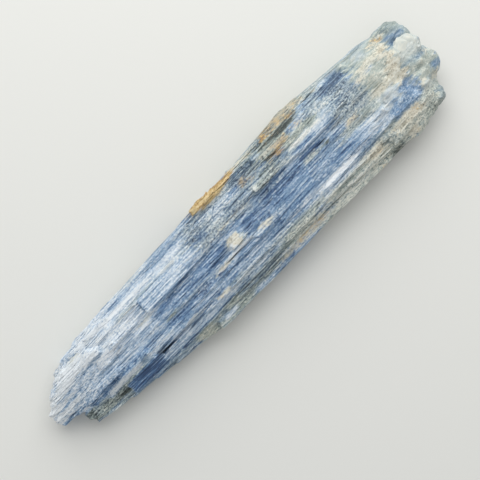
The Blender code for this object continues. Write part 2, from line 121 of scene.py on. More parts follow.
# ---- where each kind of crystal lies, with a few rows of painted shadow and one of painted light ----
# x from, x to, y from, y to (mm), tone, warmth, wear, how hard its edge is; later rows lie over earlier.
# tone runs from 0, deep blue, to 1, white; warmth turns it to olive and grey-green; wear breaks it up
ZONES = (
    # the pale main face
    (-56, -24, -1.4, 10.8, 0.78, 0.02, 0.2, 0.5),
    # the free end: pale strands with slate between them
    (-56, -46.5, -1.6, 5, 1.06, 0.15, 0.1, 0.6), (-54, -45.4, -1.6, -0.5, 0.3, 0.2, 0, 0.9),
    (-53, -48, -0.5, -0.1, 1, 0.1, 0, 0.9), (-53.5, -45.6, 0, 0.35, 0.24, 0.3, 0, 0.9),
    (-52, -46.4, 1.5, 2, 0.26, 0.2, 0, 0.9), (-51, -46.6, 2.8, 3.35, 0.28, 0.1, 0, 0.9),
    (-51.4, -49, 4.2, 5.6, 0.95, 0.2, 0.3, 0.7), (-49, -45, 6.4, 8.5, 0.84, 0.25, 0.3, 0.7),
    (-48.5, -38.4, 4.1, 7.3, 1.1, 0, 0.2, 0.6), (-46, -43, 4.7, 6.2, 1.12, 0, 0.2, 0.7),
    (-43.8, -40, 7.9, 9.4, 0.8, 0, 0.2, 0.8), (-40, -31, 8.4, 10.1, 0.84, 0.15, 0.2, 0.7),
    (-31, -25.2, 7.9, 9.5, 0.58, 0.05, 0.2, 0.8), (-30.6, -28.8, 8.6, 8.9, 0.78, 0, 0.2, 0.9),
    (-41, -32, 7.5, 8.5, 1.05, 0, 0.2, 0.8), (-32.4, -23.6, 7.2, 8.1, 1.15, 0, 0.1, 0.9),
    (-40.5, -24.6, 2.6, 7.2, 0.84, 0.12, 0.2, 0.6), (-41, -38.4, 4.4, 5.7, 1.1, 0, 0.3, 0.8),
    (-45, -37, 3.6, 4.2, 0.6, 0.2, 0.1, 0.8), (-37, -35.3, 4.4, 4.7, 0.5, 0.4, 0.1, 0.9),
    (-30, -24.8, 5.8, 6.9, 0.64, 0.5, 0.1, 0.8), (-39.6, -33.4, 1.3, 3.4, 0.92, 0.05, 0.15, 0.7),
    (-47, -39.8, 2.1, 3.4, 0.74, 0, 0.1, 0.9), (-46.8, -43.3, 1, 2.1, 0.54, 0, 0.1, 0.9),
    (-45, -26, -1.3, 1.2, 0.66, 0.1, 0.1, 0.6), (-43.4, -41, 0.2, 1.2, 0.84, 0.1, 0.2, 0.8),
    (-40.2, -34.8, 0.8, 1.1, 0.46, 0.4, 0.1, 0.9), (-34, -27.6, 0.9, 3, 0.64, -0.2, 0.1, 0.7),
    (-32.6, -27.4, -0.3, 1.4, 0.68, 0, 0.1, 0.8), (-49.3, -46.4, -2.6, -1.5, 0.86, 0.1, 0.2, 0.9),
    (-46.6, -34, -2.8, -1.4, 0.42, 0, 0.3, 0.8), (-38, -20, -2.7, -1.5, 0.38, 0, 0.3, 0.8),
    (-42.8, -33, -4.4, -3.6, 0.58, 0.8, 0.4, 0.8), (-33.4, -28.4, -4.2, -3.3, 0.46, 0.4, 0.3, 0.7),
    (-30.6, -23.8, -3.8, -3.3, 0.88, 0.1, 0.2, 0.9), (-28.8, -25.8, -3, -2.6, 0.96, 0, 0.1, 1),
    # the olive mass, the deep blue blade and its neighbours
    (-50, -46.4, -5.2, -2.5, 0.14, 0.85, 0.3, 0.9), (-47, -38.4, -5.6, -2.8, 0.35, 0.8, 0.6, 0.8),
    (-47, -42.4, -3.3, -2.8, 0.5, 0.5, 0.2, 0.8), (-40.6, -38.3, -5.5, -4.6, 0.14, 1, 0.3, 0.8),
    (-46, -38.5, -6.9, -5.8, 0.46, 0.65, 0.4, 0.8), (-44, -43.1, -6.6, -6.1, 0.95, 0.4, 0.2, 0.9),
    (-42.2, -33.4, -3.8, -2.8, 1.04, -0.2, 0.35, 0.9), (-38.3, -28.4, -7.3, -4.5, 0.13, 0, 0.05, 1),
    (-36.5, -30.5, -5.7, -4.6, 0.05, 0, 0, 0.9), (-38, -29, -6.15, -5.9, 0.22, 0, 0, 0.9),
    (-38.2, -29, -7.3, -6.8, 0.22, 0.05, 0.1, 0.9), (-31, -21.6, -8.8, -7.3, 0.44, 0.45, 0.3, 0.8),
    (-31, -25.6, -7.3, -6.3, 0.3, 0.25, 0.1, 0.9), (-28.7, -8.2, -7.2, -5, 0.7, 0.15, 0.25, 0.9),
    # the first row below is painted shade: a dark spot standing for a cavity
    (-28.8, -25.6, -5.2, -4.2, -0.4, 0.6, 0, 1), (-26.4, -24.3, -5.9, -5.7, 0.2, 0.2, 0, 1),
    (-20.8, -16.8, -5.8, -5.4, -0.15, 0.5, 0, 1), (-25.5, -20.6, -5.2, -4, 0.6, 0.1, 0.2, 0.7),
    (-21, -17.2, -4.9, -4.3, 0.94, 0.3, 0.1, 1), (-17.2, -10.4, -4.9, -4.4, 0.62, 0.1, 0.2, 0.8),
    (-24.8, -9.8, -7.6, -7.25, -0.3, 0.4, 0, 1), (-9.6, -4.4, -6.5, -5.1, 0.54, 0.65, 0.5, 0.7),
    # the rim and the square plate
    (-29, -18, 9.7, 10.8, 0.7, 0.4, 0.3, 0.7), (-24.2, -19.2, 8.5, 8.9, 0.88, 0.1, 0.1, 0.9),
    (-24, -19.6, 8, 8.4, 0.34, 0.2, 0.1, 0.9), (-18.6, -4.6, 8.9, 10.9, 0.5, 0.2, 0.3, 0.8),
    (-17.5, -9, 8.1, 9, 0.6, 0.1, 0.2, 0.7), (-23.6, -7, 7, 8.1, 0.84, 0.1, 0.2, 0.7),
    (-24.6, -18.8, 6.4, 6.7, 0.56, 0.7, 0.1, 0.9), (-18.8, -9, 5.9, 6.9, 0.78, 0.35, 0.2, 0.7),
    # the first row below is a painted shadow: the dark line along the square plate's left end
    (-24.9, -24.3, 2.5, 6, 0.05, 0.3, 0, 1), (-24.4, -8.6, 2.9, 5.9, 0.69, 0.1, 0.2, 0.95),
    (-22.4, -8, 3.6, 3.9, 0.62, 0.1, 0.1, 0.9), (-21, -9, 3.2, 3.5, 0.9, 0.1, 0.1, 0.9),
    (-24.4, -22.2, 1.9, 3, 0.84, 0.2, 0.2, 0.8), (-27.4, -24.6, 1.5, 2.5, 0.84, 0.5, 0.2, 0.7),
    # the blue stripes of the main face
    (-22.8, 2.5, 1.1, 2.9, 0.46, 0.05, 0.35, 0.8), (-22, -8.6, 2.3, 2.6, 0.28, 0, 0.1, 0.9),
    (-21.5, 3.2, 1.3, 1.6, 0.14, 0, 0, 0.8), (-24.6, -3.4, -0.5, 1.3, 0.33, 0, 0.35, 0.8),
    (-25.2, -21.8, -0.15, 0.15, 0.92, 0.2, 0, 1), (-25.2, -22.4, -1.1, -0.8, 0.86, 0.3, 0, 1),
    (-22.5, -20.2, -1.2, -0.6, 0.44, 0.9, 0.3, 0.9), (-20.4, -11, -1.4, -0.9, 0.62, 0.35, 0.3, 0.8),
    (-10.5, -2.4, -1, 1.3, 0.24, 0, 0.3, 0.8), (-22, -13, -3.2, -1.5, 0.28, 0, 0.3, 0.8),
    (-14.6, -9.6, -3.4, -1.5, 0.4, 0.1, 0.8, 0.7), (-17.6, -10.6, -3.8, -3.3, 0.6, 0.1, 0.2, 0.8),
    (-9.6, 1.5, -3.8, -2.4, 0.3, 0, 0.3, 0.8), (-10.2, -3, -4.2, -3.8, 0.72, 0.1, 0.2, 0.9),
    (-16.5, -3, -5.2, -4.2, 0.34, 0.1, 0.4, 0.7), (-9.5, -5, -5.3, -5, 0.16, 0.6, 0.1, 0.9),
    (-4.8, -1.2, -5.9, -4.5, 0.6, 0.1, 0.4, 0.7), (-6.6, 0.4, -1.8, -1.25, 1.1, 0.3, 0.2, 0.9),
    (-3.6, -0.5, -0.9, 1.5, 1, 0.5, 0.1, 1), (-0.6, 0.6, -0.9, 1.4, 0.66, 0.6, 0.1, 1),
    # the speckled band between the crust and the white blade
    (-9, 5, 3.2, 9.8, 0.39, 0.5, 1, 0.5), (5, 9, 6.4, 8.4, 0.15, 0.6, 0.8, 0.5),
    (-5.6, -1.2, 7.7, 9.3, 0.36, 0.3, 0.8, 0.6), (-8.6, -4.6, 5.1, 6.7, 0.12, 0.4, 0.6, 0.8),
    (-1.6, 5.2, 6, 8.3, 0.56, 0.3, 0.9, 0.6), (4.8, 13.8, 8.3, 9.6, 0.08, 0.5, 0.3, 0.8),
    # the first row below is painted light: a lighter patch over the shade below a step
    (11, 13.2, 8.8, 9.8, 0.42, 0.4, 0.4, 0.8), (3.4, 6.2, 7.2, 7.7, 0.22, 0, 0.3, 0.9),
    (8.8, 13.8, 6.9, 8.4, 0.07, 0.65, 0.5, 0.7), (-2.4, 7.4, 6, 6.4, 0.78, 0.3, 0.3, 0.8),
    (0.6, 6.3, 5.6, 5.95, -0.1, 0.5, 0.1, 1), (8, 14.6, 5.9, 6.3, 0.7, 0.7, 0.4, 0.8),
    (10.8, 16.6, 5.4, 5.8, -0.2, 0.9, 0.1, 1), (-0.4, 2.8, 4.7, 5.1, 0.36, 0.3, 0.2, 0.9),
    (6.8, 8, 3.6, 6.2, 0.24, 0.4, 0.4, 0.9), (8, 19, 3.2, 5.4, 0.35, 0.75, 1, 0.7),
    (8, 9.2, 4, 5.1, 0.84, 0.7, 0.2, 1), (15.6, 19.4, 3.2, 4.5, 0.66, 0.5, 0.4, 0.8),
    (15.8, 18.7, 4.6, 5.6, 0.36, 0.4, 0.3, 0.8), (0.8, 3.2, 3.2, 3.4, 0.12, 0.4, 0.1, 1),
    (6.8, 15.8, 2.7, 3.5, 0.28, 0.1, 0.4, 0.8), (12, 15.6, 2.7, 3.3, 0.1, 0, 0.1, 0.9),
    (2.5, 17, 1.8, 2.7, 0.38, 0.35, 0.6, 0.7),
    # the white blade and what lies beside it
    (18.6, 31.3, 4.4, 5.5, 0.98, 0.6, 0.15, 1), (18.6, 25.5, 3.3, 4.4, 0.36, 0.15, 0.2, 0.8),
    (24.5, 31, 3.2, 4.6, 0.68, 0.25, 0.2, 0.8), (16.6, 30.2, 2.5, 3.2, 0.66, 0, 0.1, 0.9),
    (16.6, 32, 2, 2.5, 0.52, 0.2, 0.2, 0.7), (18.6, 25.2, 5.7, 7, 0.48, 1.1, 0.6, 0.7),
    # the first row below is a painted shadow: the dark band along the white blade's upper side
    (24.8, 27.5, 5.3, 6.8, 0.16, 0.9, 0.1, 0.9), (27.2, 32.6, 5.4, 7.1, 0.6, 0.5, 0.5, 0.8),
    (26, 33, 7, 7.9, 0.44, 0.6, 0.8, 0.6), (27.4, 31.6, 4.9, 5.3, 0.36, 0.3, 0.1, 0.9),
    # the next three rows are a painted shadow: the dark line below the step that runs under the white blade
    (1.2, 5.4, 1.25, 1.7, -0.2, 0, 0, 1), (8, 17.5, 1.3, 1.9, -0.15, 0.1, 0, 1),
    (18.3, 24.4, 1.5, 2.05, -0.3, 0.1, 0, 1),
    # the blue plates
    (0.6, 19, -1, 1.4, 0.32, 0, 0.5, 0.8), (19, 23, 0.3, 1.5, 0.56, 0.75, 0.6, 0.8),
    (24.4, 25.7, 0.3, 1.4, 0.14, 1, 0.1, 1), (1.4, 10.4, -2.4, -1.4, 0.62, 0.3, 0.6, 0.7),
    (-2, 10, -4, -2.5, 0.46, 0, 0.3, 0.7), (3.8, 10, -4.9, -3.1, 0.36, 0, 0.3, 0.7),
    (10.8, 18.1, -4.2, 0.2, 0.4, 0, 0.15, 1), (-1.6, 3.7, -4.3, -4, 0.74, 0, 0.2, 0.9),
    (9.5, 15.4, -5.3, -4.2, 0.56, 0.1, 0.4, 0.7), (13, 14.6, -4.8, -4.2, 0.86, 0.1, 0.3, 0.8),
    (18.2, 24.6, -4.2, 0.3, 0.43, 0.1, 0.4, 0.9), (24.6, 29.3, -4.2, -2.1, 0.38, 0, 0.1, 1),
    (24.6, 28.4, -2.1, 0.6, 0.4, 0.2, 0.4, 0.8), (15.8, 35, -5.1, -4.3, 0.68, 0, 0.2, 0.7),
    (16.8, 29, -6.1, -5, 1.06, 0.1, 0.25, 0.8),
    # under the blue plates, down to the flank
    (-10, 5, -6.9, -5.3, 0.5, 0.4, 0.6, 0.6), (2, 17, -6.5, -5.6, 0.56, 0.5, 0.5, 0.7),
    (7, 16.6, -6.6, -6.3, 0.3, 0.9, 0.2, 0.9), (17, 30, -7, -6, 0.7, 0.15, 0.4, 0.7),
    (-10, 5, -8.8, -7.2, 0.35, 0.6, 0.5, 0.8), (5, 17.2, -8.9, -6.6, 0.58, 0.85, 0.9, 0.9),
    (4, 5.3, -8.4, -7.3, 0.08, 0.8, 0.1, 0.9), (13.6, 17, -8.6, -7.3, 0.42, 0.3, 0.4, 0.7),
    (-11.5, 2, -9.8, -8.6, 0.44, 0.7, 0.5, 0.7), (-6.5, 0.6, -8.6, -8.3, 0, 0.5, 0, 1),
    (-8.4, -4.8, -7.4, -7.1, 0, 0.5, 0, 1), (17, 31, -10, -6.9, 0.76, 0.75, 0.8, 0.7),
    (20, 30, -8.2, -7.8, 0.28, 0.95, 0.2, 0.9), (-6, 12, -11.6, -10.1, 0.36, 0.15, 0.4, 0.7),
    (-7.6, -1.4, -10.8, -10, 0.6, 0.2, 0.3, 0.8), (12, 34, -12, -9.9, 0.68, 0.9, 0.8, 0.6),
    (-21.7, -16.4, -10.9, -7.7, 0.52, 0.95, 0.4, 0.9), (-16.6, -9.6, -9, -7.6, 0.4, 0.6, 0.4, 0.8),
    (-12.5, -9.6, -8.8, -7.7, 0.48, 0.9, 0.3, 0.9), (-16.4, -6, -10.9, -9.4, 0.42, 0.85, 0.4, 0.7),
    (-14.9, -11.2, -10.1, -9.1, 0.8, 0.25, 0.1, 1),
    # the rim past the crust
    (-3.8, 4.8, 9, 10.3, 1, 0.6, 0.8, 0.9), (7.4, 14, 9.9, 11.4, 0.55, 0.8, 0.6, 0.8),
    (13.8, 16.6, 9.2, 11.6, 0.42, 0.6, 0.5, 0.8), (9.6, 13.6, 9.6, 9.9, 0.24, 0.8, 0.1, 1),
    (14.4, 24.8, 8.6, 10, -0.06, 1.3, 0.4, 0.9), (17, 28.5, 10, 12.6, 0.46, 1.2, 0.8, 0.7),
    (13.8, 20.8, 7.1, 8.5, 0.42, 1.2, 0.5, 1), (13.8, 16.4, 6.3, 7, 0.05, 1.2, 0.2, 0.9),
    (28, 40.5, 9.3, 11.6, 0.54, 0.6, 0.4, 0.7), (31.6, 36.6, 9.3, 9.9, 0.76, 0.3, 0.2, 0.8),
    (25, 27.2, 8.8, 9.1, 0.86, 0.5, 0.2, 0.9), (26.8, 31, 8.1, 9.4, 0.32, 0.5, 0.4, 0.8),
    (30.6, 38.6, 7.4, 9.2, 0.1, 0.4, 0.4, 0.95), (37.4, 40.2, 7.2, 8.7, 0.26, 0.5, 0.4, 0.8),
    # where the host rock begins
    (32.4, 36.9, 4.5, 7.1, 0.28, 0.5, 1.1, 0.8), (31.2, 33.8, 3.6, 5.4, 0.34, 0.4, 0.6, 0.7),
    (29.6, 38.6, 0.5, 4.4, 0.4, 0.55, 0.95, 0.6), (28, 34, -2, -0.3, 0.5, 0.7, 0.8, 0.6),
    (33, 39.4, -2.2, 0.6, 0.6, 0.7, 0.5, 0.6), (31.6, 40.4, -4.4, -2.2, 0.77, 0.3, 0.2, 0.7),
    (29.3, 32.6, -4.4, -2.4, 0.58, 0, 0.2, 0.7), (33, 39.6, -6.1, -4.4, 0.77, 0.25, 0.3, 0.7),
    (28.6, 34.4, -6.4, -5.5, 0.32, 0.4, 0.4, 0.7), (33.8, 38.2, -6.9, -6.2, 0.46, 0.6, 0.4, 0.7),
    (38.4, 49, -1.4, 9.8, 0.64, 0.9, 0.15, 0.6), (40.2, 45.6, 7.2, 9.4, 0.68, 0.6, 0, 0.6),
    (41, 51.5, 9.3, 10.4, 0.5, 0.6, 0.3, 0.8), (40, 42.4, 4.5, 5.2, 0.52, 0.4, 0.4, 0.8),
    (44.4, 47.3, 1.2, 8.8, 0.4, 0.9, 0, 0.7), (37.4, 41.2, 5.3, 5.6, 0.34, 0.8, 0.1, 0.9),
    (38.4, 43.4, -3.9, -0.5, 0.8, 0.5, 0.05, 0.7), (38.5, 42.2, -6.3, -4.2, 0.4, 0.15, 0.5, 0.9),
    (39.9, 41.3, -4.5, -2.8, 0.44, 0.1, 0.4, 0.9), (42, 46.7, -6.5, -4, 0.5, 0.1, 0.6, 0.9),
    (43.1, 45.3, -4.8, -2.1, 0.42, 0.1, 0.5, 0.9), (45.3, 46.9, -4.9, -2.6, 0.58, 0.1, 0.4, 0.8),
    (42.7, 43.4, 0.8, 1.5, 0, 0.9, 0.1, 0.9), (47.6, 52.2, 4.5, 7, 0.28, 0.4, 0, 0.8),
    (48.4, 51.4, 6.9, 9.3, 0.32, 0.8, 0.3, 0.8), (51, 54.8, 6.6, 9.9, 0.38, 0.85, 0.2, 0.8),
    (46.8, 55.2, -0.2, 4.6, 0.76, 0.7, 0, 0.7), (51.8, 54.8, 3.6, 7.2, 0.52, 0.7, 0.1, 0.6),
    (46.8, 55, -0.9, 0.4, 0.54, 0.6, 0.3, 0.7), (50.3, 51.8, -1.1, -0.3, 0.38, 0.4, 0.3, 0.8),
    (46.8, 55.5, -5.2, -0.9, 0.64, 0.9, 0.3, 0.7), (48.2, 49.5, -2.4, -2.1, 0.22, 0.9, 0.1, 0.9),
    (51.8, 55, -4.9, -3.4, 0.36, 0.3, 0.2, 0.8), (46, 52.4, -8.2, -5.2, 0.72, 0.75, 0.4, 0.8),
    (48.9, 51.5, -10.6, -7.7, 0.36, 0.6, 0.4, 0.9), (28, 49, -12.4, -6.8, 0.62, 0.9, 1, 0.6),
    (33, 37, -9.5, -7.2, 0.5, 0.75, 0.5, 0.7), (33.4, 37.2, -11.9, -10.3, 0, 1, 0.3, 0.8),
    (44.5, 48.4, -11.6, -9.7, 0.34, 0.95, 0.7, 0.7), (36.4, 39.6, -12.4, -11, 0.46, 0.5, 0.4, 0.7),
)
# x from, x to, y from, y to (mm), cream for feldspar and mica, ochre for iron stain, how hard its edge is
STAINS = (
    (28, 48, -11.9, -6.8, 0.45, 0, 0.4), (18, 28, 9.9, 12.6, 0.55, 0.5, 0.6),
    (14.4, 24.8, 8.7, 9.8, 0, 0.3, 0.8), (46.8, 52, -3.4, -1.2, 0.45, 0, 0.5),
    (-43.8, -41, 6.8, 7.7, 0.75, 0.05, 0.8), (-42.1, -39.6, -3.4, -2.9, 0.35, 0, 0.8),
    (-14.4, -11.8, 6, 6.3, 0.6, 0.1, 0.9), (-9, -8, 5.2, 6.2, 0.6, 0, 0.7),
    (-13.2, -9.4, -6, -5.1, 0.9, 0.05, 0.9), (-12.8, -11.8, -6, -5.7, 0.2, 0.6, 0.9),
    (-9.4, -5, -2.5, -1.4, 0.9, 0, 0.8), (-6.2, 0.2, -1.9, -1.3, 0.3, 0, 0.8),
    (-3.5, -0.5, 0.4, 1.5, 1.4, 0, 1), (-2.6, -0.5, -0.4, 0.6, 1.4, 0, 1),
    (-2, -0.5, -1.1, -0.3, 1.3, 0, 1), (-3.2, -1.4, 3, 4.5, 0.75, 0, 0.7),
    (-1.2, 6, 3.5, 4.4, 0.55, 0, 0.6), (2.7, 6.9, -2.7, -1, 0.85, 0, 0.8),
    (-21.6, -16.4, -10.8, -7.8, 0.5, 0, 0.7), (-11, -6, -9.3, -8.6, 0.45, 0, 0.7),
    (1.8, 16, -10.3, -8.6, 0.75, 0.15, 0.7), (7, 9.4, -9.9, -8.7, 0.85, 0.55, 0.8),
    (10.6, 14.6, -9.9, -8.7, 0.85, 0.6, 0.8), (5, 17, -8.6, -6.8, 0.35, 0, 0.5),
    (-4.2, 7.4, 9.85, 12.5, 0, 1.05, 1), (-3.6, 6.8, 10, 10.9, 0, 1.6, 0.8),
    (-2.4, 4.4, 9.2, 10, 0.5, 1.1, 0.9), (5, 7.6, 10.9, 12, 0.3, 0.45, 0.8),
    (7.4, 14, 10.1, 11.4, 0.62, 0.3, 0.7), (16.3, 18.2, 10.2, 11.6, 0, 1.15, 0.9),
    (18, 22.6, 10.1, 11.3, 0.5, 0.6, 0.7), (22.9, 24.4, 9.5, 10.1, 0, 0.8, 0.9),
    (6.3, 8.9, 6.6, 8.2, 0.75, 0.55, 0.8), (9, 10.3, 5.9, 6.7, 0.4, 0.75, 0.8),
    (13.8, 20.8, 5.8, 8.5, 0.45, 0.35, 0.7), (13.8, 16.6, 7.4, 8.5, 0.65, 0.1, 0.9),
    (16.5, 20.7, 7, 8.3, 0.8, 0.55, 0.9), (15.6, 18.8, 5.9, 7, 0.1, 0.95, 0.9),
    (13.8, 15.8, 6.3, 7, 0, 0.45, 0.8), (22.5, 25.7, 6.9, 8.1, 0.75, 0.5, 0.8),
    (18.6, 25, 5.7, 6.6, 0.45, 0.1, 0.6), (20.6, 23.2, 0.5, 1.5, 0.55, 0.15, 0.8),
    (30, 33.2, -0.4, 0.9, 1.1, 0.3, 0.8), (30.2, 31.6, 9.2, 10.1, 0.9, 0.2, 0.8),
    (27, 32, 5.6, 7, 0.3, 0, 0.6), (44.4, 47.3, 1.2, 8.8, 1.1, 0.24, 0.8),
    (37.5, 39.9, 4.2, 5.3, 1.1, 0, 0.8), (39.8, 44.6, 4.6, 6.8, 0.85, 0, 0.6),
    (38.2, 44.8, -0.6, 1.5, 0.95, 0, 0.7), (38.8, 44, 1.4, 4.2, 0.55, 0, 0.6),
    (43.6, 46.8, -1.8, 2.6, 1.15, 0.08, 0.7), (41, 45, 7, 9.4, 0.25, 0, 0.6),
    (46.7, 48.3, 7.3, 8.7, 0.5, 0.9, 0.8), (48.2, 49.1, 7.7, 8.5, 1.1, 0, 0.9),
    (51.8, 53.6, -1.3, -0.2, 0.95, 0.1, 0.8), (46.6, 48.6, -5.3, -4.1, 0.9, 0.3, 0.8),
    (50.1, 52.6, -6.2, -4.8, 0.9, 0.3, 0.8), (27.4, 30, -8.3, -7.1, 0.9, 0.25, 0.8),
    (29.9, 33.2, -8.9, -7.1, 1.2, 0.4, 0.8), (36.3, 39.8, -8.6, -6.9, 1, 0.2, 0.8),
    (39.6, 44.3, -8.7, -6.7, 1.2, 0.28, 0.8), (42, 44.8, -8, -6.8, 0.8, 0.6, 0.8),
    (38.4, 41.2, -11.4, -9.5, 1, 0.25, 0.8), (30, 32, -11.5, -10.5, 0.5, 0.6, 0.8),
)
PLATES = (
    # x from, x to, y from, y to (mm), its two ends, how proud it is at each (mm), how ragged its sides are
    (-24.4, -9, 2.8, 6, "square", "frayed", 0.26, 0.02, 0.08),
    (-46.9, -39.8, 1.9, 3.3, "slant", "frayed", 0.02, 0.22, 0.25),
    (-39.6, -33, 1.2, 3.4, "round", "frayed", 0.16, 0.02, 0.35),
    (-43.3, -36, 0.1, 1.1, "round", "frayed", 0.2, 0.02, 0.2),
    (-42, -33.4, -3.7, -2.8, "round", "frayed", 0.8, 0.4, 0.16),
    (-38, -31.4, 7.5, 8.5, "frayed", "frayed", 0.2, 0.14, 0.2),
    (-32.4, -14, 7.1, 8.1, "frayed", "frayed", 0.22, 0.1, 0.14),
    (-38.3, -28.4, -6.9, -4.6, "square", "square", 0.22, 0.2, 0.03),
    (-28.5, -8.6, -7.1, -5.3, "slant", "frayed", 0.26, 0.06, 0.1),
    (-3.4, -0.4, -0.8, 1.5, "slant", "square", 0.22, 0.22, 0.16),
    (-0.5, 0.6, -0.8, 1.4, "square", "square", 0.12, 0.12, 0.05),
    (6, 18.1, -4.2, 0.1, "frayed", "round", 0.02, 0.16, 0.04),
    (20.6, 29.3, -4.2, -1.9, "frayed", "round", 0.02, 0.18, 0.05),
    (18.6, 31.2, 3, 5.4, "frayed", "round", 0.1, 0.3, 0.08),
    (8, 14.4, 3.9, 5.3, "square", "frayed", 0.22, 0.06, 0.12),
    (26, 32.5, 5.7, 7, "slant", "slant", 0.2, 0.14, 0.12),
    (13.9, 20.8, 7.1, 8.4, "square", "square", 0.18, 0.12, 0.08),
    (17.6, 28.7, -5.9, -5, "frayed", "frayed", 0.18, 0.16, 0.12),
    (-14.8, -11.3, -9.9, -9.2, "round", "round", 0.18, 0.18, 0.12),
    (-20.9, -17.2, -4.9, -4.3, "slant", "frayed", 0.18, 0.12, 0.06),
    (-9.2, -5.2, -2.4, -1.6, "round", "frayed", 0.16, 0.1, 0.2),
    (17, 30.4, 2, 3.2, "frayed", "frayed", 0.04, 0.04, 0.1),
    (6.5, 8.7, 6.7, 8.1, "frayed", "frayed", 0.12, 0.12, 0.25),
)
QUARTZ_LUMPS = (
    # x, y, length, width and height in mm
    (49.2, 2.5, 6, 6.2, 1.9), (51.4, 3.2, 3.6, 4.6, 1.5),
)


def clamp(value):
    """The nearest value from 0 to 1."""
    return min(1.0, max(0.0, value))


def wave(x, y, z):
    """Smooth noise from -1 to 1 at a place."""
    return noise.noise(Vector((x, y, z)))


# ---- shader maths ----
class Value:
    """A socket whose arithmetic adds Math nodes to its finish."""

    def __init__(self, finish, socket):
        self.finish = finish
        self.socket = socket

    def _math(self, operation, first, second):
        return self.finish.add("ShaderNodeMath", {"operation": operation}, {0: first, 1: second})

    def __add__(self, other):
        return self._math("ADD", self, other)

    __radd__ = __add__

    def __sub__(self, other):
        return self._math("SUBTRACT", self, other)

    def __rsub__(self, other):
        return self._math("SUBTRACT", other, self)

    def __mul__(self, other):
        return self._math("MULTIPLY", self, other)

    __rmul__ = __mul__


class Finish:
    """A material whose node tree is written as expressions."""

    def __init__(self, name, roughness):
        self.material = bpy.data.materials.new(name)
        self.material.use_nodes = True
        self.tree = self.material.node_tree
        self.shader = self.tree.nodes["Principled BSDF"]
        self.shader.inputs["Roughness"].default_value = roughness
        here = self.add("ShaderNodeTexCoord", output="Object")
        self.place = self.add("ShaderNodeVectorMath", {"operation": "SCALE"}, {0: here, "Scale": 1.0 / MM})

    def add(self, kind, settings=None, inputs=None, output=0):
        """Add a node, set it, fill its inputs with numbers or sockets, and return one of its outputs."""
        node = self.tree.nodes.new(kind)
        for key, value in (settings or {}).items():
            if key == "stops":
                self._set_stops(node.color_ramp, value)
            else:
                setattr(node, key, value)
        for key, value in (inputs or {}).items():
            self.feed(node.inputs[key], value)
        return Value(self, node.outputs[output])

    def feed(self, socket, value):
        """Link a value to a socket, or set the socket to a number, colour or vector."""
        if isinstance(value, Value):
            self.tree.links.new(value.socket, socket)
        else:
            socket.default_value = value

    @staticmethod
    def _set_stops(ramp, stops):
        while len(ramp.elements) < len(stops):
            ramp.elements.new(1.0)
        for element, (position, colour) in zip(ramp.elements, stops):
            element.position = position
            element.color = rgb(colour)

    def grain(self, along, over, detail, roughness, distortion=0.0):
        """Noise from 0 to 1; along and over are its scales per mm with and across the blades."""
        stretched = self.add("ShaderNodeVectorMath", {"operation": "MULTIPLY"},
                             {0: self.place, 1: (along, over, over)})
        return self.add("ShaderNodeTexNoise", None, {"Vector": stretched, "Scale": 1.0, "Detail": detail,
                                                     "Roughness": roughness, "Distortion": distortion})

    def attribute(self, name, output="Fac"):
        return self.add("ShaderNodeAttribute", {"attribute_name": name}, output=output)

    def step(self, value, low, high):
        """0 below low, 1 above high, smooth between."""
        return self.add("ShaderNodeMapRange", {"interpolation_type": "SMOOTHSTEP"},
                        {"Value": value, "From Min": low, "From Max": high})

    def ramp(self, value, stops):
        return self.add("ShaderNodeValToRGB", {"stops": stops}, {"Fac": value}, "Color")

    def terraces(self, value, levels):
        """A noise as flat ragged layers: their height from 0 to 1, and a line along each layer's edge."""
        slope, line, fade = 0.010, 0.008, 0.026
        heights, rims = [], []
        for i, level in enumerate(levels):
            below, above = grey(i / len(levels)), grey((i + 1) / len(levels))
            heights += [(level - slope, below), (level + slope, above)]
            rims += [(level - line, grey(0.0)), (level + line, grey(1.0)), (level + fade, grey(0.0))]
        return self.ramp(value, heights), self.ramp(value, rims)

    def mix(self, share, first, second, blend="MIX"):
        """The first colour with this share of the second blended over it."""
        return self.add("ShaderNodeMix", {"data_type": "RGBA", "blend_type": blend},
                        {0: share, 6: first, 7: second}, 2)

    def bump(self, height, distance, strength, over=None):
        inputs = {"Height": height, "Distance": distance, "Strength": strength}
        if over is not None:
            inputs["Normal"] = over
        return self.add("ShaderNodeBump", None, inputs)


def rgb(colour):
    """A colour with full alpha, as a socket takes it."""
    return (*colour[:3], 1.0)


def grey(value):
    return (value, value, value)


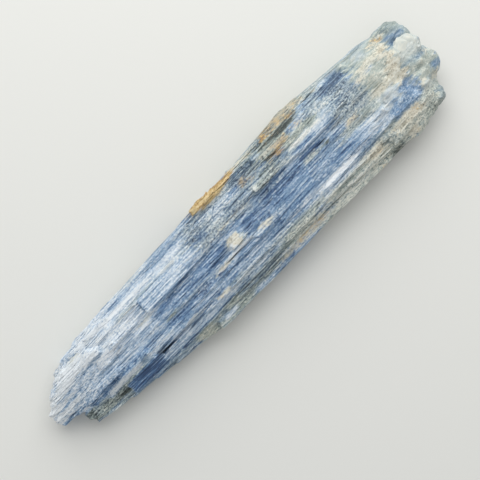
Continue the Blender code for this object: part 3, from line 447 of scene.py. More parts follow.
def crystal_finish(name, colours, roughness):
    """Streaked blue crystal, weathered, stained or turned to rock where a piece's attributes say so;
    painted highlight on ridges and painted shade in hollows.
    """
    f = Finish(name, roughness)
    split = f.add("ShaderNodeSeparateColor", None, {"Color": f.attribute("zones", "Color")}).socket.node
    tone, cream, ochre = (Value(f, split.outputs[i]) for i in range(3))
    warmth, wear, rock, edge = (f.attribute(title) for title in ("warmth", "wear", "rock", "edge"))

    lines = f.grain(0.16, 3.6, 0.5, 0.6)
    streak = f.grain(0.20, 1.5, 3.0, 0.6, 0.2)
    layers = f.grain(0.28, 1.10, 6.0, 0.62, 0.3)
    mottle = f.grain(1.0, 1.7, 4.0, 0.68, 0.7)
    speck = f.grain(2.4, 4.2, 2.0, 0.65, 0.3)
    height, rim = f.terraces(layers, (0.36, 0.42, 0.47, 0.52, 0.57, 0.63))
    long_grain = 1.0 - 0.75 * rock

    # the last term, by the mesh's bend, is painted highlight on ridges and painted shade in hollows
    shade = (tone + (1.62 - 1.15 * tone - 0.35 * wear) * long_grain * (lines - 0.5)
             + 0.14 * long_grain * (streak - 0.5) + 0.10 * (height - 0.5)
             + (wear * 0.6 + 0.08) * (mottle - 0.5)
             + (wear * 2.0 + 0.90 * long_grain) * (speck - 0.5) + 0.14 * (edge - 0.5))
    cool = f.ramp(shade, ((0.0, colours.deep), (0.25, colours.blue), (0.5, colours.mid),
                          (0.75, colours.pale), (1.0, colours.white)))
    warm = f.ramp(shade, ((0.0, colours.moss), (0.25, colours.olive), (0.6, colours.lichen),
                          (1.0, colours.bone)))
    warm_mask = f.step(warmth + 0.30 * (streak - 0.5) + (0.15 + 0.5 * wear) * (mottle - 0.5), 0.05, 0.95)
    stone = f.mix(warm_mask * 0.94, cool, warm)

    pearl = f.mix(warmth, rgb(colours.white), rgb(colours.bone))
    glint = f.step(lines + 0.9 * (speck - 0.5) + 0.12 * (tone - 0.5), 0.56, 0.72)
    stone = f.mix(glint * (0.12 + 0.25 * tone), stone, pearl)
    # worn white scuffs, mixed with painted highlight along the rims of the worn layers
    scuff_and_rim_highlight = f.step(rim * 0.45 + 0.9 * (mottle - 0.5) + 0.8 * (speck - 0.5) + 0.30 * (edge - 0.5)
                   + 0.40 * (tone + wear - 0.8), 0.30, 0.75)
    stone = f.mix(scuff_and_rim_highlight * 0.34, stone, pearl)

    cream_mask = f.step(cream + 1.5 * (mottle - 0.5) + 1.2 * (speck - 0.5) + 0.6 * (streak - 0.5),
                        0.28, 1.05)
    # its edge term is painted highlight on ridges and painted shade in hollows
    cream_depth = (mottle + 1.1 * (speck - 0.5) + 0.3 * (height - 0.5) + 0.25 * (edge - 0.5)
                   + 0.3 * (tone - 0.6))
    feldspar = f.ramp(cream_depth, ((0.28, colours.sand), (0.46, colours.cream), (0.66, colours.bone)))
    stone = f.mix(cream_mask * 0.92, stone, feldspar)
    ochre_mask = f.step(ochre + 1.3 * (mottle - 0.5) + 0.9 * (speck - 0.5) + 0.6 * (streak - 0.5),
                        0.25, 1.05)
    ochre_depth = (1.8 * mottle + 1.6 * (speck - 0.5) + 1.0 * (streak - 0.5) + 0.4 * (ochre - 2.35)
                   + 0.3 * (tone - 0.5))
    iron = f.ramp(ochre_depth, ((0.16, colours.rust), (0.46, colours.ochre), (0.76, colours.straw)))
    stone = f.mix(ochre_mask * 0.92, stone, iron)

    # painted shade: the hollows of the mass, found by its bend, are darkened where shade falls
    crevice_shade_and_cracks = f.step(edge, 0.40, 0.12)
    split_line = f.step(lines + 0.5 * (speck - 0.5) + 0.3 * (streak - 0.5), 0.42, 0.28)
    pits = f.step(speck + 0.3 * (mottle - 0.5), 0.41, 0.28)
    # the darkening mixes painted shade in the hollows with the fine dark split lines along the grain and
    # the pits of wear
    dark = (crevice_shade_and_cracks * 0.30 + split_line * long_grain * (0.42 - 0.18 * tone + 0.24 * wear)
            + pits * wear * 0.50)
    f.feed(f.shader.inputs["Base Color"], f.mix(dark, stone, rgb(colours.crevice_shade_and_cracks), "MULTIPLY"))

    dull = (cream_mask + ochre_mask + warm_mask * 0.5) * 0.20
    f.feed(f.shader.inputs["Roughness"], roughness + 0.30 * (speck - 0.5) + 0.12 * rock + dull)
    steps = f.bump(height, 0.20 * MM, 0.8)
    f.feed(f.shader.inputs["Normal"],
           f.bump(long_grain * (lines * 0.55 + streak * 0.35) + mottle * (0.3 + 0.4 * rock) + speck * 0.35,
                  0.22 * MM, 0.8, steps))
    return f.material


def quartz_finish(name, colours, roughness):
    """Milky quartz, clouded grey, with painted highlight on its ridges and painted shade in its hollows."""
    f = Finish(name, roughness)
    cloud = f.grain(0.45, 0.6, 4.0, 0.6, 0.8)
    speck = f.grain(1.8, 2.4, 3.0, 0.6)
    edge = f.attribute("edge")
    # the edge term is painted highlight on ridges and painted shade in hollows
    tint = cloud + 0.5 * (edge - 0.5) + 0.25 * (speck - 0.5)
    f.feed(f.shader.inputs["Base Color"],
           f.ramp(tint, ((0.20, colours.smoke), (0.48, colours.milk), (0.80, colours.bone))))
    f.feed(f.shader.inputs["Normal"], f.bump(cloud + 0.5 * speck, 0.12 * MM, 0.5))
    return f.material


# ---- what lies where ----
class Patches:
    """Patches laid over each other in order, found by the column of the plan that a point lies in."""
    COLUMN = 4.0             # mm
    END_REACH = 4.0          # how far past its ends a frayed patch may be felt, in mm
    SIDE_REACH = 1.5         # and past its sides

    def __init__(self, patches):
        self.columns = {}
        for patch in patches:
            first = math.floor((patch[0] - self.END_REACH) / self.COLUMN)
            last = math.floor((patch[1] + self.END_REACH) / self.COLUMN)
            for column in range(first, last + 1):
                self.columns.setdefault(column, []).append(patch)

    def at(self, x, y, ground, fray, drift, loosest):
        """The amounts at a point in mm, whose place is pulled along by fray and across by drift.

        loosest is how far even a hard edge gives way to them, from 0 to 1."""
        amounts = list(ground)
        for patch in self.columns.get(math.floor(x / self.COLUMN), ()):
            if patch[2] - self.SIDE_REACH < y < patch[3] + self.SIDE_REACH:
                share = self.cover(x, y, patch, fray, drift, loosest)
                if share:
                    amounts = [a + (b - a) * share for a, b in zip(amounts, patch[4:])]
        return amounts

    @staticmethod
    def cover(x, y, patch, fray, drift, loosest):
        """How much a patch covers a point: 1 inside it, falling to 0 outside over its edge."""
        hard = patch[-1]
        loose = max(loosest, 1.12 - hard)
        x, y = x + fray * loose, y + drift * loose
        end_blur, side_blur = 2.6 - 2.2 * hard, 0.75 - 0.5 * hard
        past_end = max(patch[0] - x, x - patch[1]) / end_blur
        past_side = max(patch[2] - y, y - patch[3]) / side_blur
        return clamp(0.5 - 0.5 * max(past_end, past_side))


ZONE_MAP, STAIN_MAP = Patches(ZONES), Patches(STAINS)


def stains_at(point, lift):
    """Tone, cream, ochre, warmth and wear at a point in metres; lift is added to the tone."""
    x, y, z = point / MM
    fray = 5.0 * wave(x * 0.12, y * 1.6, z * 1.6) + 2.5 * wave(x * 0.5, y * 3.4, z * 3.4)
    drift = wave(x * 0.12, y * 0.4, z * 0.4) + 0.6 * wave(x * 0.6, y * 1.6, z)
    low = clamp((5.0 - z) / 3.5) if x > -44 else 0.0                 # duller towards the ground
    below = 0.7 * clamp((6.5 - z) / 3.0) if y > 5.0 else 0.0         # down the side under the rim
    tone, warmth, wear, _ = ZONE_MAP.at(x, y, (0.5, 0.2, 0.25, 0.0), fray, drift, below)
    cream, ochre, _ = STAIN_MAP.at(x, y, (0.0, 0.0, 0.0), fray, drift, below)
    return (tone + lift - 0.08 * low, cream, ochre * (1.0 - low) - 1.5 * below,
            min(1.0, warmth + 0.35 * low), min(1.0, wear + 0.3 * low))


# ---- mesh helpers ----
def rock_share(x):
    """How much of the surface is host rock and not blades at x in mm."""
    return clamp((x - ROCK_START) / (ROCK_WHOLE - ROCK_START))


def edge_shape(bm):
    """For each vertex 0.5 on the flat, up to 1 on a sharp ridge and down to 0 in a crevice."""
    bends = []
    for v in bm.verts:
        bend = sum(e.calc_face_angle_signed(0.0) for e in v.link_edges if len(e.link_faces) == 2)
        bends.append(clamp(0.5 + bend * 0.22))
    return [0.5 * bends[v.index] + 0.5 * sum(bends[e.other_vert(v).index] for e in v.link_edges)
            / max(1, len(v.link_edges)) for v in bm.verts]


def put_in_scene(bm, name):
    """A new object in the scene, with this bmesh as its mesh."""
    mesh = bpy.data.meshes.new(name)
    bm.to_mesh(mesh)
    bm.free()
    thing = bpy.data.objects.new(name, mesh)
    bpy.context.scene.collection.objects.link(thing)
    return thing


def finished(bm, name, material, lifts=None, rock=0.0):
    """Make a bmesh, already in place and in metres, a piece with its stains as attributes.

    lifts makes single points lighter or darker; rock is the least share of granular rock in its finish."""
    bm.verts.index_update()
    edges = edge_shape(bm)
    piece = put_in_scene(bm, name)
    mesh = piece.data
    stains = [stains_at(v.co, lifts[i] if lifts else 0.0) for i, v in enumerate(mesh.vertices)]
    zones = mesh.attributes.new("zones", "FLOAT_COLOR", "POINT")
    zones.data.foreach_set("color", [c for stain in stains for c in rgb(stain)])
    rocks = [max(rock, rock_share(v.co.x / MM)) for v in mesh.vertices]
    singles = {"warmth": [stain[3] for stain in stains], "wear": [stain[4] for stain in stains],
               "edge": edges, "rock": rocks}
    for title, values in singles.items():
        mesh.attributes.new(title, "FLOAT", "POINT").data.foreach_set("value", values)
    mesh.materials.append(material)
    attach(piece, BODY)
    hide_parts(NODE)
    return piece


def squeezed(x):
    """Where a place along the blades lies in the squeezed solid, both in metres."""
    knee = MATRIX_X * MM
    return BLADE_SQUEEZE * min(x, knee) + ROCK_SQUEEZE * max(0.0, x - knee)


def released(x):
    """Where a place along the squeezed solid lies on the real one, both in metres."""
    knee = MATRIX_X * MM * BLADE_SQUEEZE
    return min(x, knee) / BLADE_SQUEEZE + max(0.0, x - knee) / ROCK_SQUEEZE


def remeshed_solid(cell):
    """The cluster's own solid in even cells, this wide across the blades and longer along them."""
    bm = bmesh.new()
    bm.from_mesh(frame["nodes"][NODE].data)
    bmesh.ops.remove_doubles(bm, verts=bm.verts, dist=1e-6)
    for v in bm.verts:
        v.co.x = squeezed(v.co.x)
    rough = put_in_scene(bm, "rough mass")
    cells = rough.modifiers.new("Cells", "REMESH")
    cells.mode = "VOXEL"
    cells.voxel_size = cell
    bm = bmesh.new()
    bm.from_object(rough, bpy.context.evaluated_depsgraph_get())
    bpy.data.meshes.remove(rough.data)
    for v in bm.verts:
        v.co.x = released(v.co.x)
    return bm


def smooth(bm, verts, times):
    for _ in range(times):
        bmesh.ops.smooth_vert(bm, verts=verts, factor=0.5,
                              use_axis_x=True, use_axis_y=True, use_axis_z=True)


def terrace(value, rise):
    """A height as steps of this rise, with short slopes between them."""
    steps, rest = divmod(value / rise, 1.0)
    slope = clamp((rest - 0.3) / 0.4)
    return rise * (steps + slope * slope * (3.0 - 2.0 * slope))


def relief(point):
    """Height in mm of the fine relief at a point: grooves, fibres, worn layers, and lumps in the matrix."""
    p = point / MM
    groove = wave(p.x * 0.08, p.y * 1.1, p.z * 1.1)
    fibre = wave(p.x * 0.20, p.y * 2.2, p.z * 2.2 + 7.0)
    layer = (wave(p.x * 0.09, p.y * 0.6, p.z * 0.6) + 0.4 * wave(p.x * 0.35, p.y * 1.6, p.z * 1.6)
             + 0.2 * wave(p.x * 0.9, p.y * 3.2, p.z * 3.2))
    fine = 0.06 * groove + 0.05 * fibre + terrace(0.25 * layer, 0.09)
    rock = rock_share(p.x)
    rough = min(1.0, max(0.5, -0.25 * p.y - 0.75))                   # coarser towards the flank
    crumbs = 0.26 * noise.noise(p * 0.9) + 0.14 * noise.noise(p * 2.1)
    lump = 0.40 * noise.noise(p * 0.35) + rough * crumbs
    return fine * (1.0 - 0.7 * rock) + lump * rock


class Blank:
    """A small shape that is repeated with its points moved each time."""

    def __init__(self, bm):
        self.mesh = bpy.data.meshes.new("blank")
        bm.to_mesh(self.mesh)
        bm.free()
        self.points = [v.co.copy() for v in self.mesh.vertices]

    @classmethod
    def bar(cls, along, across=1):
        """A unit block cut into this many lengths along x and strips across y."""
        bm = bmesh.new()
        bmesh.ops.create_cube(bm, size=1.0)
        cuts = [(i / along - 0.5, Vector((1, 0, 0))) for i in range(1, along)]
        cuts += [(i / across - 0.5, Vector((0, 1, 0))) for i in range(1, across)]
        for place, normal in cuts:
            everything = bm.verts[:] + bm.edges[:] + bm.faces[:]
            bmesh.ops.bisect_plane(bm, geom=everything, plane_co=normal * place, plane_no=normal)
        return cls(bm)

    @classmethod
    def pebble(cls, cuts):
        """A block of unit size with this many cuts each way and its corners pulled in."""
        bm = bmesh.new()
        bmesh.ops.create_cube(bm, size=1.0)
        bmesh.ops.subdivide_edges(bm, edges=bm.edges, cuts=cuts, use_grid_fill=True)
        for v in bm.verts:
            v.co *= 0.5 / v.co.length ** 0.7
        return cls(bm)

    def add_to(self, bm, points):
        """Append the shape to a bmesh with these points in place of its own."""
        self.mesh.vertices.foreach_set("co", [c for point in points for c in point])
        bm.from_mesh(self.mesh)


def surface_at(tree, x, y):
    """Where a line straight down at a place in mm meets the mass, and the normal there, or None."""
    hit, normal, _, _ = tree.ray_cast(Vector((x * MM, y * MM, OUTSIDE)), Vector((0, 0, -1)))
    return (hit, normal) if hit else None


def side_at(tree, x, z, outward):
    """The same for a line that looks level at the mass from the rim's side, 1, or the flank's, -1."""
    hit, normal, _, _ = tree.ray_cast(Vector((x * MM, outward * OUTSIDE, z * MM)), Vector((0, -outward, 0)))
    return (hit, normal) if hit else None


def bend_and_climb(places, axis):
    """Along an axis, how far the middle of three places is off the others' line, and these two differ."""
    first, middle, last = (point[axis] for point, _ in places)
    return abs(middle - (first + last) / 2), abs(last - first)


# ---- pieces ----
def make_mass(sizes, material):
    """The crystal mass: the solid with its rock and hollows softened and its fine relief."""
    bm = remeshed_solid(sizes.cell)
    smooth(bm, bm.verts, 1)
    smooth(bm, [v for v in bm.verts if v.co.x > (ROCK_START + 2.0) * MM and v.co.z > 2.0 * MM], 6)
    bm.verts.index_update()
    smooth(bm, [v for v, edge in zip(bm.verts, edge_shape(bm)) if edge < HOLLOW], 4)
    bm.normal_update()
    moves = []
    for v in bm.verts:
        free = min(1.0, v.co.z / (FOOT * MM))
        moves.append(v.normal * (relief(v.co) - SKIN) * MM * free)
    for v, move in zip(bm.verts, moves):
        v.co += move
        v.co.z = max(v.co.z, 0.0)
    return finished(bm, "crystal_mass", material)


class Bed:
    """The plane, in mm, that a plate lies on: fitted to the mass under it, above most of its bumps."""
    LENGTHS, STRIPS = 6, 4   # its box is felt at the corners of this many cells along and across it
    CLEAR = 24               # how many of the 35 spots felt lie below the plane

    def __init__(self, tree, x0, x1, y0, y1):
        self.x, self.y = (x0 + x1) / 2, (y0 + y1) / 2
        spots = []
        for i in range(self.LENGTHS + 1):
            for j in range(self.STRIPS + 1):
                x, y = x0 + (x1 - x0) * i / self.LENGTHS, y0 + (y1 - y0) * j / self.STRIPS
                found = surface_at(tree, x, y)
                if found:
                    spots.append((x - self.x, y - self.y, found[0].z / MM))
        self.whole = len(spots) == (self.LENGTHS + 1) * (self.STRIPS + 1)
        if not self.whole:
            return
        self.level = sum(z for _, _, z in spots) / len(spots)
        self.along = sum(x * z for x, _, z in spots) / sum(x * x for x, _, _ in spots)
        self.across = sum(y * z for _, y, z in spots) / sum(y * y for _, y, _ in spots)
        bumps = sorted(z - self.at(x + self.x, y + self.y) for x, y, z in spots)
        self.rough = bumps[-1] - bumps[0]
        self.level += bumps[self.CLEAR]

    def at(self, x, y):
        return self.level + self.along * (x - self.x) + self.across * (y - self.y)


def end_reach(style, s, width, phase):
    """How far short of full length, in mm, a plate's end stops at s, which runs from -1 to 1 across it."""
    if style == "round":
        return 0.5 * width * (1.0 - math.sqrt(max(0.0, 1.0 - s * s)))
    if style == "slant":
        return 0.45 * width * (s + 1.0)
    if style == "frayed":
        return width * (0.6 + 1.3 * wave(s * 2.2, phase, 0.0))
    return 0.05 * width * wave(s * 3.0, phase, 0.0)


def plate_points(blank, bed, plate, phase):
    """The blank's points bent into one cleavage plate on its bed."""
    x0, x1, y0, y1, start, end, rise0, rise1, fray = plate
    width = y1 - y0
    bevel = min(0.10, 0.5 * max(rise0, rise1))
    points = []
    for p in blank.points:
        t, s = p.x + 0.5, 2.0 * p.y
        near = 1.0 - 2.0 * t
        reach = end_reach(start, s, width, phase) if near > 0 else -end_reach(end, s, width, phase + 5.0)
        x = x0 + t * (x1 - x0) + reach * near * near
        y = (y0 + y1) / 2 + 0.5 * s * width + 2.0 * fray * s * wave(x * 0.9, s * 2.0, phase)
        z = bed.at(x, y) + (rise0 + (rise1 - rise0) * t if p.z > 0 else -PLATE_ROOT)
        if p.z > 0 and (abs(s) > 0.99 or abs(near) > 0.99):
            z -= bevel
        points.append(Vector((x, y, z)) * MM)
    return points


def make_plates(tree, material):
    """The cleavage plates that stand out of the face."""
    blank = Blank.bar(24, 8)
    bm = bmesh.new()
    end, side = PLATE_MARGINS
    for i, plate in enumerate(PLATES):
        bed = Bed(tree, plate[0] + end, plate[1] - end, plate[2] + side, plate[3] - side)
        if not bed.whole:
            raise RuntimeError(f"plate {i} reaches past the mass")
        blank.add_to(bm, plate_points(blank, bed, plate, 3.7 * i))
    return finished(bm, "cleavage_plates", material)


class Swarm:
    """Copies of one blank laid by random draws, up to a count, and gathered into one piece."""

    def __init__(self, blank, count, tries, seed):
        self.blank = blank
        self.rng = random.Random(seed)
        self.count = count
        self.tries = count * tries
        self.placed = 0
        self.bm = bmesh.new()
        self.lifts = []

    def __iter__(self):
        """Go round until the count is placed or the tries run out."""
        for _ in range(self.tries):
            if self.placed >= self.count:
                return
            yield self.rng

    def spread(self, least, most):
        """A size between two, with the small ones as likely as the large."""
        return least * (most / least) ** self.rng.random()

    def add(self, points, uneven=None):
        """Add a copy with these points, and where it is uneven make all of it lighter or darker."""
        self.blank.add_to(self.bm, points)
        if uneven:
            self.lifts.extend([self.rng.gauss(0.0, uneven)] * len(points))
        self.placed += 1


def make_flakes(name, tree, count, field, length, width, rise, material, seed):
    """Thin ragged flakes on the upper surface inside a field of the plan."""
    swarm = Swarm(Blank.bar(5, 3), count, 5, seed)
    styles = ("frayed", "round", "slant", "frayed")
    for rng in swarm:
        long = swarm.spread(*length)
        wide = min(rng.uniform(*width), 0.5 * long)
        x, y = rng.uniform(field[0], field[1] - long), rng.uniform(field[2], field[3] - wide)
        bed = Bed(tree, x, x + long, y, y + wide)
        if not bed.whole or bed.rough > 0.45 or abs(bed.across) > 0.7 or bed.level < 1.0:
            continue                                                 # too bumpy, too steep or too low
        if rng.random() < rock_share(x + 0.7 * long):
            continue
        plate = (x, x + long, y, y + wide, rng.choice(styles), rng.choice(styles),
                 rng.uniform(*rise), rng.uniform(0.0, rise[1]), 0.14 * wide + 0.06)
        swarm.add(plate_points(swarm.blank, bed, plate, rng.uniform(0, 90)), 0.03)
    return finished(swarm.bm, name, material, swarm.lifts)


def splinter_points(blank, start, end, side, up, width, depth, rng):
    """The blank's points bent into one thin blade from start to end, with uneven edges and tapered ends."""
    phase = rng.uniform(0, 100)
    tips = (rng.uniform(0.05, 0.5), rng.uniform(0.05, 0.5))
    skews = (rng.uniform(-1.5, 1.5), rng.uniform(-1.5, 1.5))
    points = []
    for p in blank.points:
        t = p.x + 0.5
        wide = 1.0 + 0.35 * wave(t * 3.0, phase, p.y)
        tall = 1.0 + 0.25 * wave(t * 3.0, phase + 9.0, p.z)
        if t < 0.01 or t > 0.99:
            last = t > 0.5
            wide *= tips[last]
            tall *= 0.6 if p.z > 0 else 1.0
            t += skews[last] * p.y * width / max((end - start).length, 1e-6)
        points.append(start.lerp(end, t) + side * (p.y * width * wide) + up * ((p.z * tall - 0.5) * depth))
    return points


def lay_splinter(swarm, first, last, width, proud, uneven):
    """Add one splinter between two places on the surface, each a point and the normal there."""
    direction = (last[0] - first[0]).normalized()
    side = (first[1] + last[1]).cross(direction).normalized()
    spin = math.radians(swarm.rng.gauss(0.0, SPLINTER_SPIN))
    side = Matrix.Rotation(spin, 3, direction) @ side
    up = direction.cross(side).normalized()
    swarm.add(splinter_points(swarm.blank, first[0] + up * proud, last[0] + up * proud, side, up, width,
                              proud + SPLINTER_ROOT * MM, swarm.rng), uneven)


def make_splinters(name, tree, count, field, length, width, proud, material, seed, steepest=0.12):
    """Thin blades laid along the upper surface inside a field of the plan, their tops just above it."""
    swarm = Swarm(Blank.bar(3), count, 6, seed)
    for rng in swarm:
        long = swarm.spread(*length)
        x = rng.uniform(field[0], field[1] - long)
        y0 = rng.uniform(field[2], field[3])
        y1 = y0 + long * math.sin(math.radians(rng.gauss(0.0, 0.7)))
        if rng.random() < rock_share(x + 0.7 * long):
            continue
        places = [surface_at(tree, x + long * t, y0 + (y1 - y0) * t) for t in (0.0, 0.5, 1.0)]
        if not all(places):
            continue
        bend, climb = bend_and_climb(places, 2)
        first, _, last = places
        if bend > SAG * MM or climb > (steepest * long + 0.25) * MM:
            continue
        if first[0].z < 1.0 * MM or min(first[1].z, last[1].z) < 0.3:
            continue
        lay_splinter(swarm, first, last, rng.uniform(*width) * MM, rng.uniform(*proud) * MM, 0.05)
    bmesh.ops.recalc_face_normals(swarm.bm, faces=swarm.bm.faces)
    return finished(swarm.bm, name, material, swarm.lifts)


def make_side_fibres(name, tree, count, outward, length, width, proud, material, seed):
    """Fibres along one long side: the rim's, 1, or the flank's, -1."""
    swarm = Swarm(Blank.bar(4), count, 6, seed)
    for rng in swarm:
        long = swarm.spread(*length)
        x = rng.uniform(SIDE_FIELD[0], SIDE_FIELD[1] - long)
        z = rng.uniform(SIDE_FIELD[2], SIDE_FIELD[3])
        places = [side_at(tree, along, z, outward) for along in (x, x + long / 2, x + long)]
        if not all(places):
            continue
        bend, climb = bend_and_climb(places, 1)
        if bend > SAG * MM or climb > (0.10 * long + 0.2) * MM:
            continue
        lay_splinter(swarm, places[0], places[2], rng.uniform(*width) * MM, rng.uniform(*proud) * MM, 0.06)
    bmesh.ops.recalc_face_normals(swarm.bm, faces=swarm.bm.faces)
    return finished(swarm.bm, name, material, swarm.lifts)


def grain_points(blank, centre, size, rng, rough=0.55):
    """The blank's points bent into one uneven grain, all in metres."""
    phase = Vector((rng.uniform(0, 50), rng.uniform(0, 50), rng.uniform(0, 50)))
    turn = Matrix.Rotation(rng.uniform(-0.5, 0.5), 3, "Z") @ Matrix.Rotation(rng.uniform(-0.5, 0.5), 3, "X")
    points = []
    for p in blank.points:
        p = p * (1.0 + rough * noise.noise(p * 3.0 + phase) + 0.4 * rough * noise.noise(p * 7.0 + phase))
        points.append(centre + turn @ Vector((p.x * size.x, p.y * size.y, p.z * size.z)))
    return points


def make_grains(name, tree, count, field, size, material, seed, sink=0.30):
    """Broken grains of rock bedded in the surface inside a field of the plan."""
    swarm = Swarm(Blank.pebble(1), count, 4, seed)
    for rng in swarm:
        found = surface_at(tree, rng.uniform(field[0], field[1]), rng.uniform(field[2], field[3]))
        if not found or found[0].z < 1.2 * MM:
            continue
        grain = swarm.spread(*size) * MM
        stretch = Vector((rng.uniform(0.8, 1.9), rng.uniform(0.7, 1.1), rng.uniform(0.5, 0.9))) * grain
        swarm.add(grain_points(swarm.blank, found[0] - found[1] * (grain * sink), stretch, rng))
    return finished(swarm.bm, name, material, rock=0.8)


def make_quartz(tree, material):
    """The milky quartz lump at the matrix end."""
    rng = random.Random(5)
    blank = Blank.pebble(12)
    bm = bmesh.new()
    for x, y, long, wide, tall in QUARTZ_LUMPS:
        centre = surface_at(tree, x, y)[0] - Vector((0, 0, tall * 0.26 * MM))
        blank.add_to(bm, grain_points(blank, centre, Vector((long, wide, tall)) * MM, rng, 0.22))
    return finished(bm, "quartz_lump", material)


# ---- settings ----
class ClusterSizes(bpy.types.PropertyGroup):
    cell: FloatProperty(name="Cell", description="Width across the blades of the mass's cells",
                        default=0.23 * MM, min=0.0001, unit="LENGTH")
    flakes: IntProperty(name="Flakes", description="Thin ragged flakes on the upper face", default=420)
    splinters: IntProperty(name="Splinters", description="Thin blades on the upper face", default=3000)
    tip_blades: IntProperty(name="Tip blades", description="Narrow blades at the free end", default=160)
    side_fibres: IntProperty(name="Side fibres", description="Fibres on each long side", default=380)
    grains: IntProperty(name="Grains", description="Grains bedded in the matrix", default=260)


def colour(name, description, *default):
    return FloatVectorProperty(name=name, description=description, subtype="COLOR", default=default)


class ClusterColours(bpy.types.PropertyGroup):
    deep: colour("Deep blue", "Darkest crystal", 0.030, 0.075, 0.180)
    blue: colour("Blue", "Strong blue crystal", 0.092, 0.192, 0.360)
    mid: colour("Mid blue", "Grey-blue crystal", 0.234, 0.366, 0.532)
    pale: colour("Pale blue", "Lavender-blue crystal", 0.485, 0.596, 0.720)
    white: colour("White", "Pearly cleavage and scuffs", 0.838, 0.888, 0.925)
    moss: colour("Moss", "Darkest weathered crystal", 0.060, 0.075, 0.065)
    olive: colour("Olive", "Weathered crystal with mica", 0.210, 0.255, 0.235)
    lichen: colour("Lichen grey", "Greenish grey weathered crystal", 0.415, 0.475, 0.425)
    bone: colour("Bone", "Yellowish white", 0.760, 0.755, 0.665)
    cream: colour("Cream", "Feldspar of the matrix", 0.690, 0.650, 0.530)
    sand: colour("Sand", "Darker grains of the matrix", 0.460, 0.420, 0.330)
    ochre: colour("Ochre", "Iron stain", 0.600, 0.400, 0.125)
    straw: colour("Straw", "Thin iron stain", 0.780, 0.620, 0.330)
    rust: colour("Rust", "Thick iron stain", 0.330, 0.170, 0.050)
    smoke: colour("Smoke", "Grey depths of the quartz", 0.360, 0.400, 0.390)
    milk: colour("Milk", "Cloudy quartz", 0.540, 0.585, 0.560)
    # painted shade: this tint darkens the hollows of the mass, and also the fine dark split lines and pits
    crevice_shade_and_cracks: colour("Crevice", "Tint of the cracks between blades", 0.300, 0.340, 0.400)
    floor: colour("Floor", "The plain ground", 0.735, 0.740, 0.712)


class StageSettings(bpy.types.PropertyGroup):
    key_power: FloatProperty(name="Key power", description="Soft light from the rim side", default=1.80,
                             unit="POWER")
    key_size: FloatProperty(name="Key size", description="Side of the soft light", default=0.50,
                            unit="LENGTH")
    key_place: FloatVectorProperty(name="Key place", description="Where the soft light is",
                                   subtype="TRANSLATION", unit="LENGTH", default=(0.195, 0.215, 0.255))
    fill_strength: FloatProperty(name="Fill", description="Even light from all round", default=0.52)
    lens: FloatProperty(name="Lens", description="Focal length in mm", default=85.0)
    roll: FloatProperty(name="Roll", description="Turn of the view about the vertical", subtype="ANGLE",
                        default=math.radians(-46.08))
    view_width: FloatProperty(name="View width", description="Width of ground in the picture",
                              default=0.09863, unit="LENGTH")


class Shared:
    """What the operators share while the script runs: the mass's search tree and the finishes."""
    tree = None
    finishes = {}

    @classmethod
    def finish(cls, title):
        """The crystal or quartz finish, made when it is first asked for."""
        if not cls.finishes:
            colours = bpy.context.scene.cluster_colours
            cls.finishes["crystal"] = crystal_finish("streaked kyanite", colours, 0.42)
            cls.finishes["quartz"] = quartz_finish("milky quartz", colours, 0.48)
        return cls.finishes[title]

    @classmethod
    def surface(cls):
        """The finished mass's search tree."""
        if cls.tree is None:
            bm = bmesh.new()
            bm.from_mesh(bpy.data.objects["crystal_mass"].data)
            cls.tree = BVHTree.FromBMesh(bm)
            bm.free()
        return cls.tree


# ---- operators ----
class KYANITE_OT_mass(bpy.types.Operator):
    """Make the crystal mass"""
    bl_idname = "kyanite.mass"
    bl_label = "Crystal mass"

    def execute(self, context):
        make_mass(context.scene.cluster_sizes, Shared.finish("crystal"))
        return {"FINISHED"}


class KYANITE_OT_plates(bpy.types.Operator):
    """Lay cleavage plates and flakes on the upper face"""
    bl_idname = "kyanite.plates"
    bl_label = "Plates"

    def execute(self, context):
        tree, crystal = Shared.surface(), Shared.finish("crystal")
        make_plates(tree, crystal)
        count = context.scene.cluster_sizes.flakes
        make_flakes("face_flakes", tree, count, FLAKE_FIELD, length=(1.5, 9.0), width=(0.45, 1.5),
                    rise=(0.03, 0.12), material=crystal, seed=41)
        make_flakes("crumb_flakes", tree, count // 2, CRUMB_FIELD, length=(0.4, 1.4), width=(0.25, 0.7),
                    rise=(0.03, 0.14), material=crystal, seed=42)
        return {"FINISHED"}


class KYANITE_OT_splinters(bpy.types.Operator):
    """Lay thin blades on the upper face and at the free end"""
    bl_idname = "kyanite.splinters"
    bl_label = "Splinters"

    def execute(self, context):
        tree, crystal = Shared.surface(), Shared.finish("crystal")
        sizes = context.scene.cluster_sizes
        make_splinters("face_splinters", tree, sizes.splinters, SPLINTER_FIELD, length=(1.4, 11.0),
                       width=(0.09, 0.30), proud=(0.02, 0.08), material=crystal, seed=11)
        make_splinters("tip_blades", tree, sizes.tip_blades, TIP_FIELD, length=(2.0, 7.0),
                       width=(0.18, 0.55), proud=(0.08, 0.30), material=crystal, seed=12, steepest=0.5)
        return {"FINISHED"}


class KYANITE_OT_sides(bpy.types.Operator):
    """Lay fibres along both long sides"""
    bl_idname = "kyanite.sides"
    bl_label = "Side fibres"

    def execute(self, context):
        tree, crystal = Shared.surface(), Shared.finish("crystal")
        count = context.scene.cluster_sizes.side_fibres
        for name, outward, seed in (("flank_fibres", -1.0, 21), ("rim_fibres", 1.0, 22)):
            make_side_fibres(name, tree, count, outward, length=(2.5, 17.5), width=(0.15, 0.45),
                             proud=(0.02, 0.12), material=crystal, seed=seed)
        return {"FINISHED"}


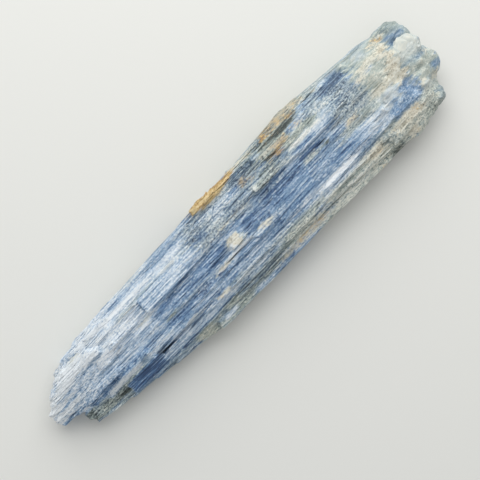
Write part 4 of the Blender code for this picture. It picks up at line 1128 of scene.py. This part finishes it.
class KYANITE_OT_matrix(bpy.types.Operator):
    """Bed grains and lumps of quartz and feldspar in the matrix, the flank and the crust"""
    bl_idname = "kyanite.matrix"
    bl_label = "Matrix grains"

    def execute(self, context):
        tree, crystal = Shared.surface(), Shared.finish("crystal")
        count = context.scene.cluster_sizes.grains
        make_grains("matrix_grains", tree, count // 2, MATRIX_FIELD, size=(0.6, 2.6), material=crystal,
                    seed=31, sink=0.36)
        make_grains("flank_grains", tree, count, FLANK_FIELD, size=(0.4, 1.8), material=crystal, seed=32)
        make_grains("crust_grains", tree, count // 3, CRUST_FIELD, size=(0.4, 1.3), material=crystal,
                    seed=33)
        make_quartz(tree, Shared.finish("quartz"))
        return {"FINISHED"}


class KYANITE_OT_stage(bpy.types.Operator):
    """Set the plain ground, the soft light and the camera"""
    bl_idname = "kyanite.stage"
    bl_label = "Stage"

    def execute(self, context):
        scene = context.scene
        settings = scene.stage_settings
        bm = bmesh.new()
        bmesh.ops.create_grid(bm, x_segments=1, y_segments=1, size=GROUND_HALF)
        ground = put_in_scene(bm, "ground")
        finish = Finish("matt ground", 0.75)
        finish.feed(finish.shader.inputs["Base Color"], rgb(scene.cluster_colours.floor))
        ground.data.materials.append(finish.material)
        ground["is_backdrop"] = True

        world = bpy.data.worlds.new("studio")
        world.use_nodes = True
        background = world.node_tree.nodes["Background"]
        background.inputs["Color"].default_value = (0.98, 0.99, 1.0, 1.0)
        background.inputs["Strength"].default_value = settings.fill_strength
        scene.world = world

        key = bpy.data.lights.new("key", "AREA")
        key.energy = settings.key_power
        key.size = settings.key_size
        key.color = (1.0, 0.99, 0.97)
        lamp = bpy.data.objects.new("key", key)
        lamp.location = settings.key_place
        lamp.rotation_euler = lamp.location.to_track_quat("Z", "Y").to_euler()
        scene.collection.objects.link(lamp)

        camera = bpy.data.cameras.new("camera")
        camera.lens = settings.lens
        camera.sensor_width = 36.0
        camera.clip_start = 0.01
        viewer = bpy.data.objects.new("camera", camera)
        distance = settings.view_width * settings.lens / camera.sensor_width
        viewer.location = (AIM[0], AIM[1], AIM[2] + distance)
        viewer.rotation_euler = (0.0, 0.0, settings.roll)
        scene.collection.objects.link(viewer)
        scene.camera = viewer
        scene.view_settings.view_transform = "Standard"
        scene.view_settings.look = "None"
        return {"FINISHED"}


class KYANITE_PT_panel(bpy.types.Panel):
    """Lists the steps that dress the cluster"""
    bl_idname = "KYANITE_PT_panel"
    bl_label = "Kyanite cluster"
    bl_space_type = "VIEW_3D"
    bl_region_type = "UI"
    bl_category = "Kyanite"

    def draw(self, context):
        for operator in OPERATORS:
            self.layout.operator(operator.bl_idname)
        scene = context.scene
        for group in (scene.cluster_sizes, scene.cluster_colours, scene.stage_settings):
            for name in group.__annotations__:
                self.layout.prop(group, name)


OPERATORS = (KYANITE_OT_mass, KYANITE_OT_plates, KYANITE_OT_splinters, KYANITE_OT_sides, KYANITE_OT_matrix,
             KYANITE_OT_stage)
CLASSES = (ClusterSizes, ClusterColours, StageSettings, *OPERATORS, KYANITE_PT_panel)


def register():
    for cls in CLASSES:
        bpy.utils.register_class(cls)
    bpy.types.Scene.cluster_sizes = PointerProperty(type=ClusterSizes)
    bpy.types.Scene.cluster_colours = PointerProperty(type=ClusterColours)
    bpy.types.Scene.stage_settings = PointerProperty(type=StageSettings)


def unregister():
    del bpy.types.Scene.stage_settings
    del bpy.types.Scene.cluster_colours
    del bpy.types.Scene.cluster_sizes
    for cls in reversed(CLASSES):
        bpy.utils.unregister_class(cls)


def main():
    register()
    for obj in list(bpy.data.objects):
        if obj.name in ("Cube", "Light", "Camera"):
            bpy.data.objects.remove(obj)
    bpy.ops.kyanite.mass()
    bpy.ops.kyanite.plates()
    bpy.ops.kyanite.splinters()
    bpy.ops.kyanite.sides()
    bpy.ops.kyanite.matrix()
    bpy.ops.kyanite.stage()
    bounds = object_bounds()
    {"cad": [list(corner) for corner in CAD_BOX], "visual": [list(corner) for corner in bounds]}


if __name__ == "__main__":
    main()
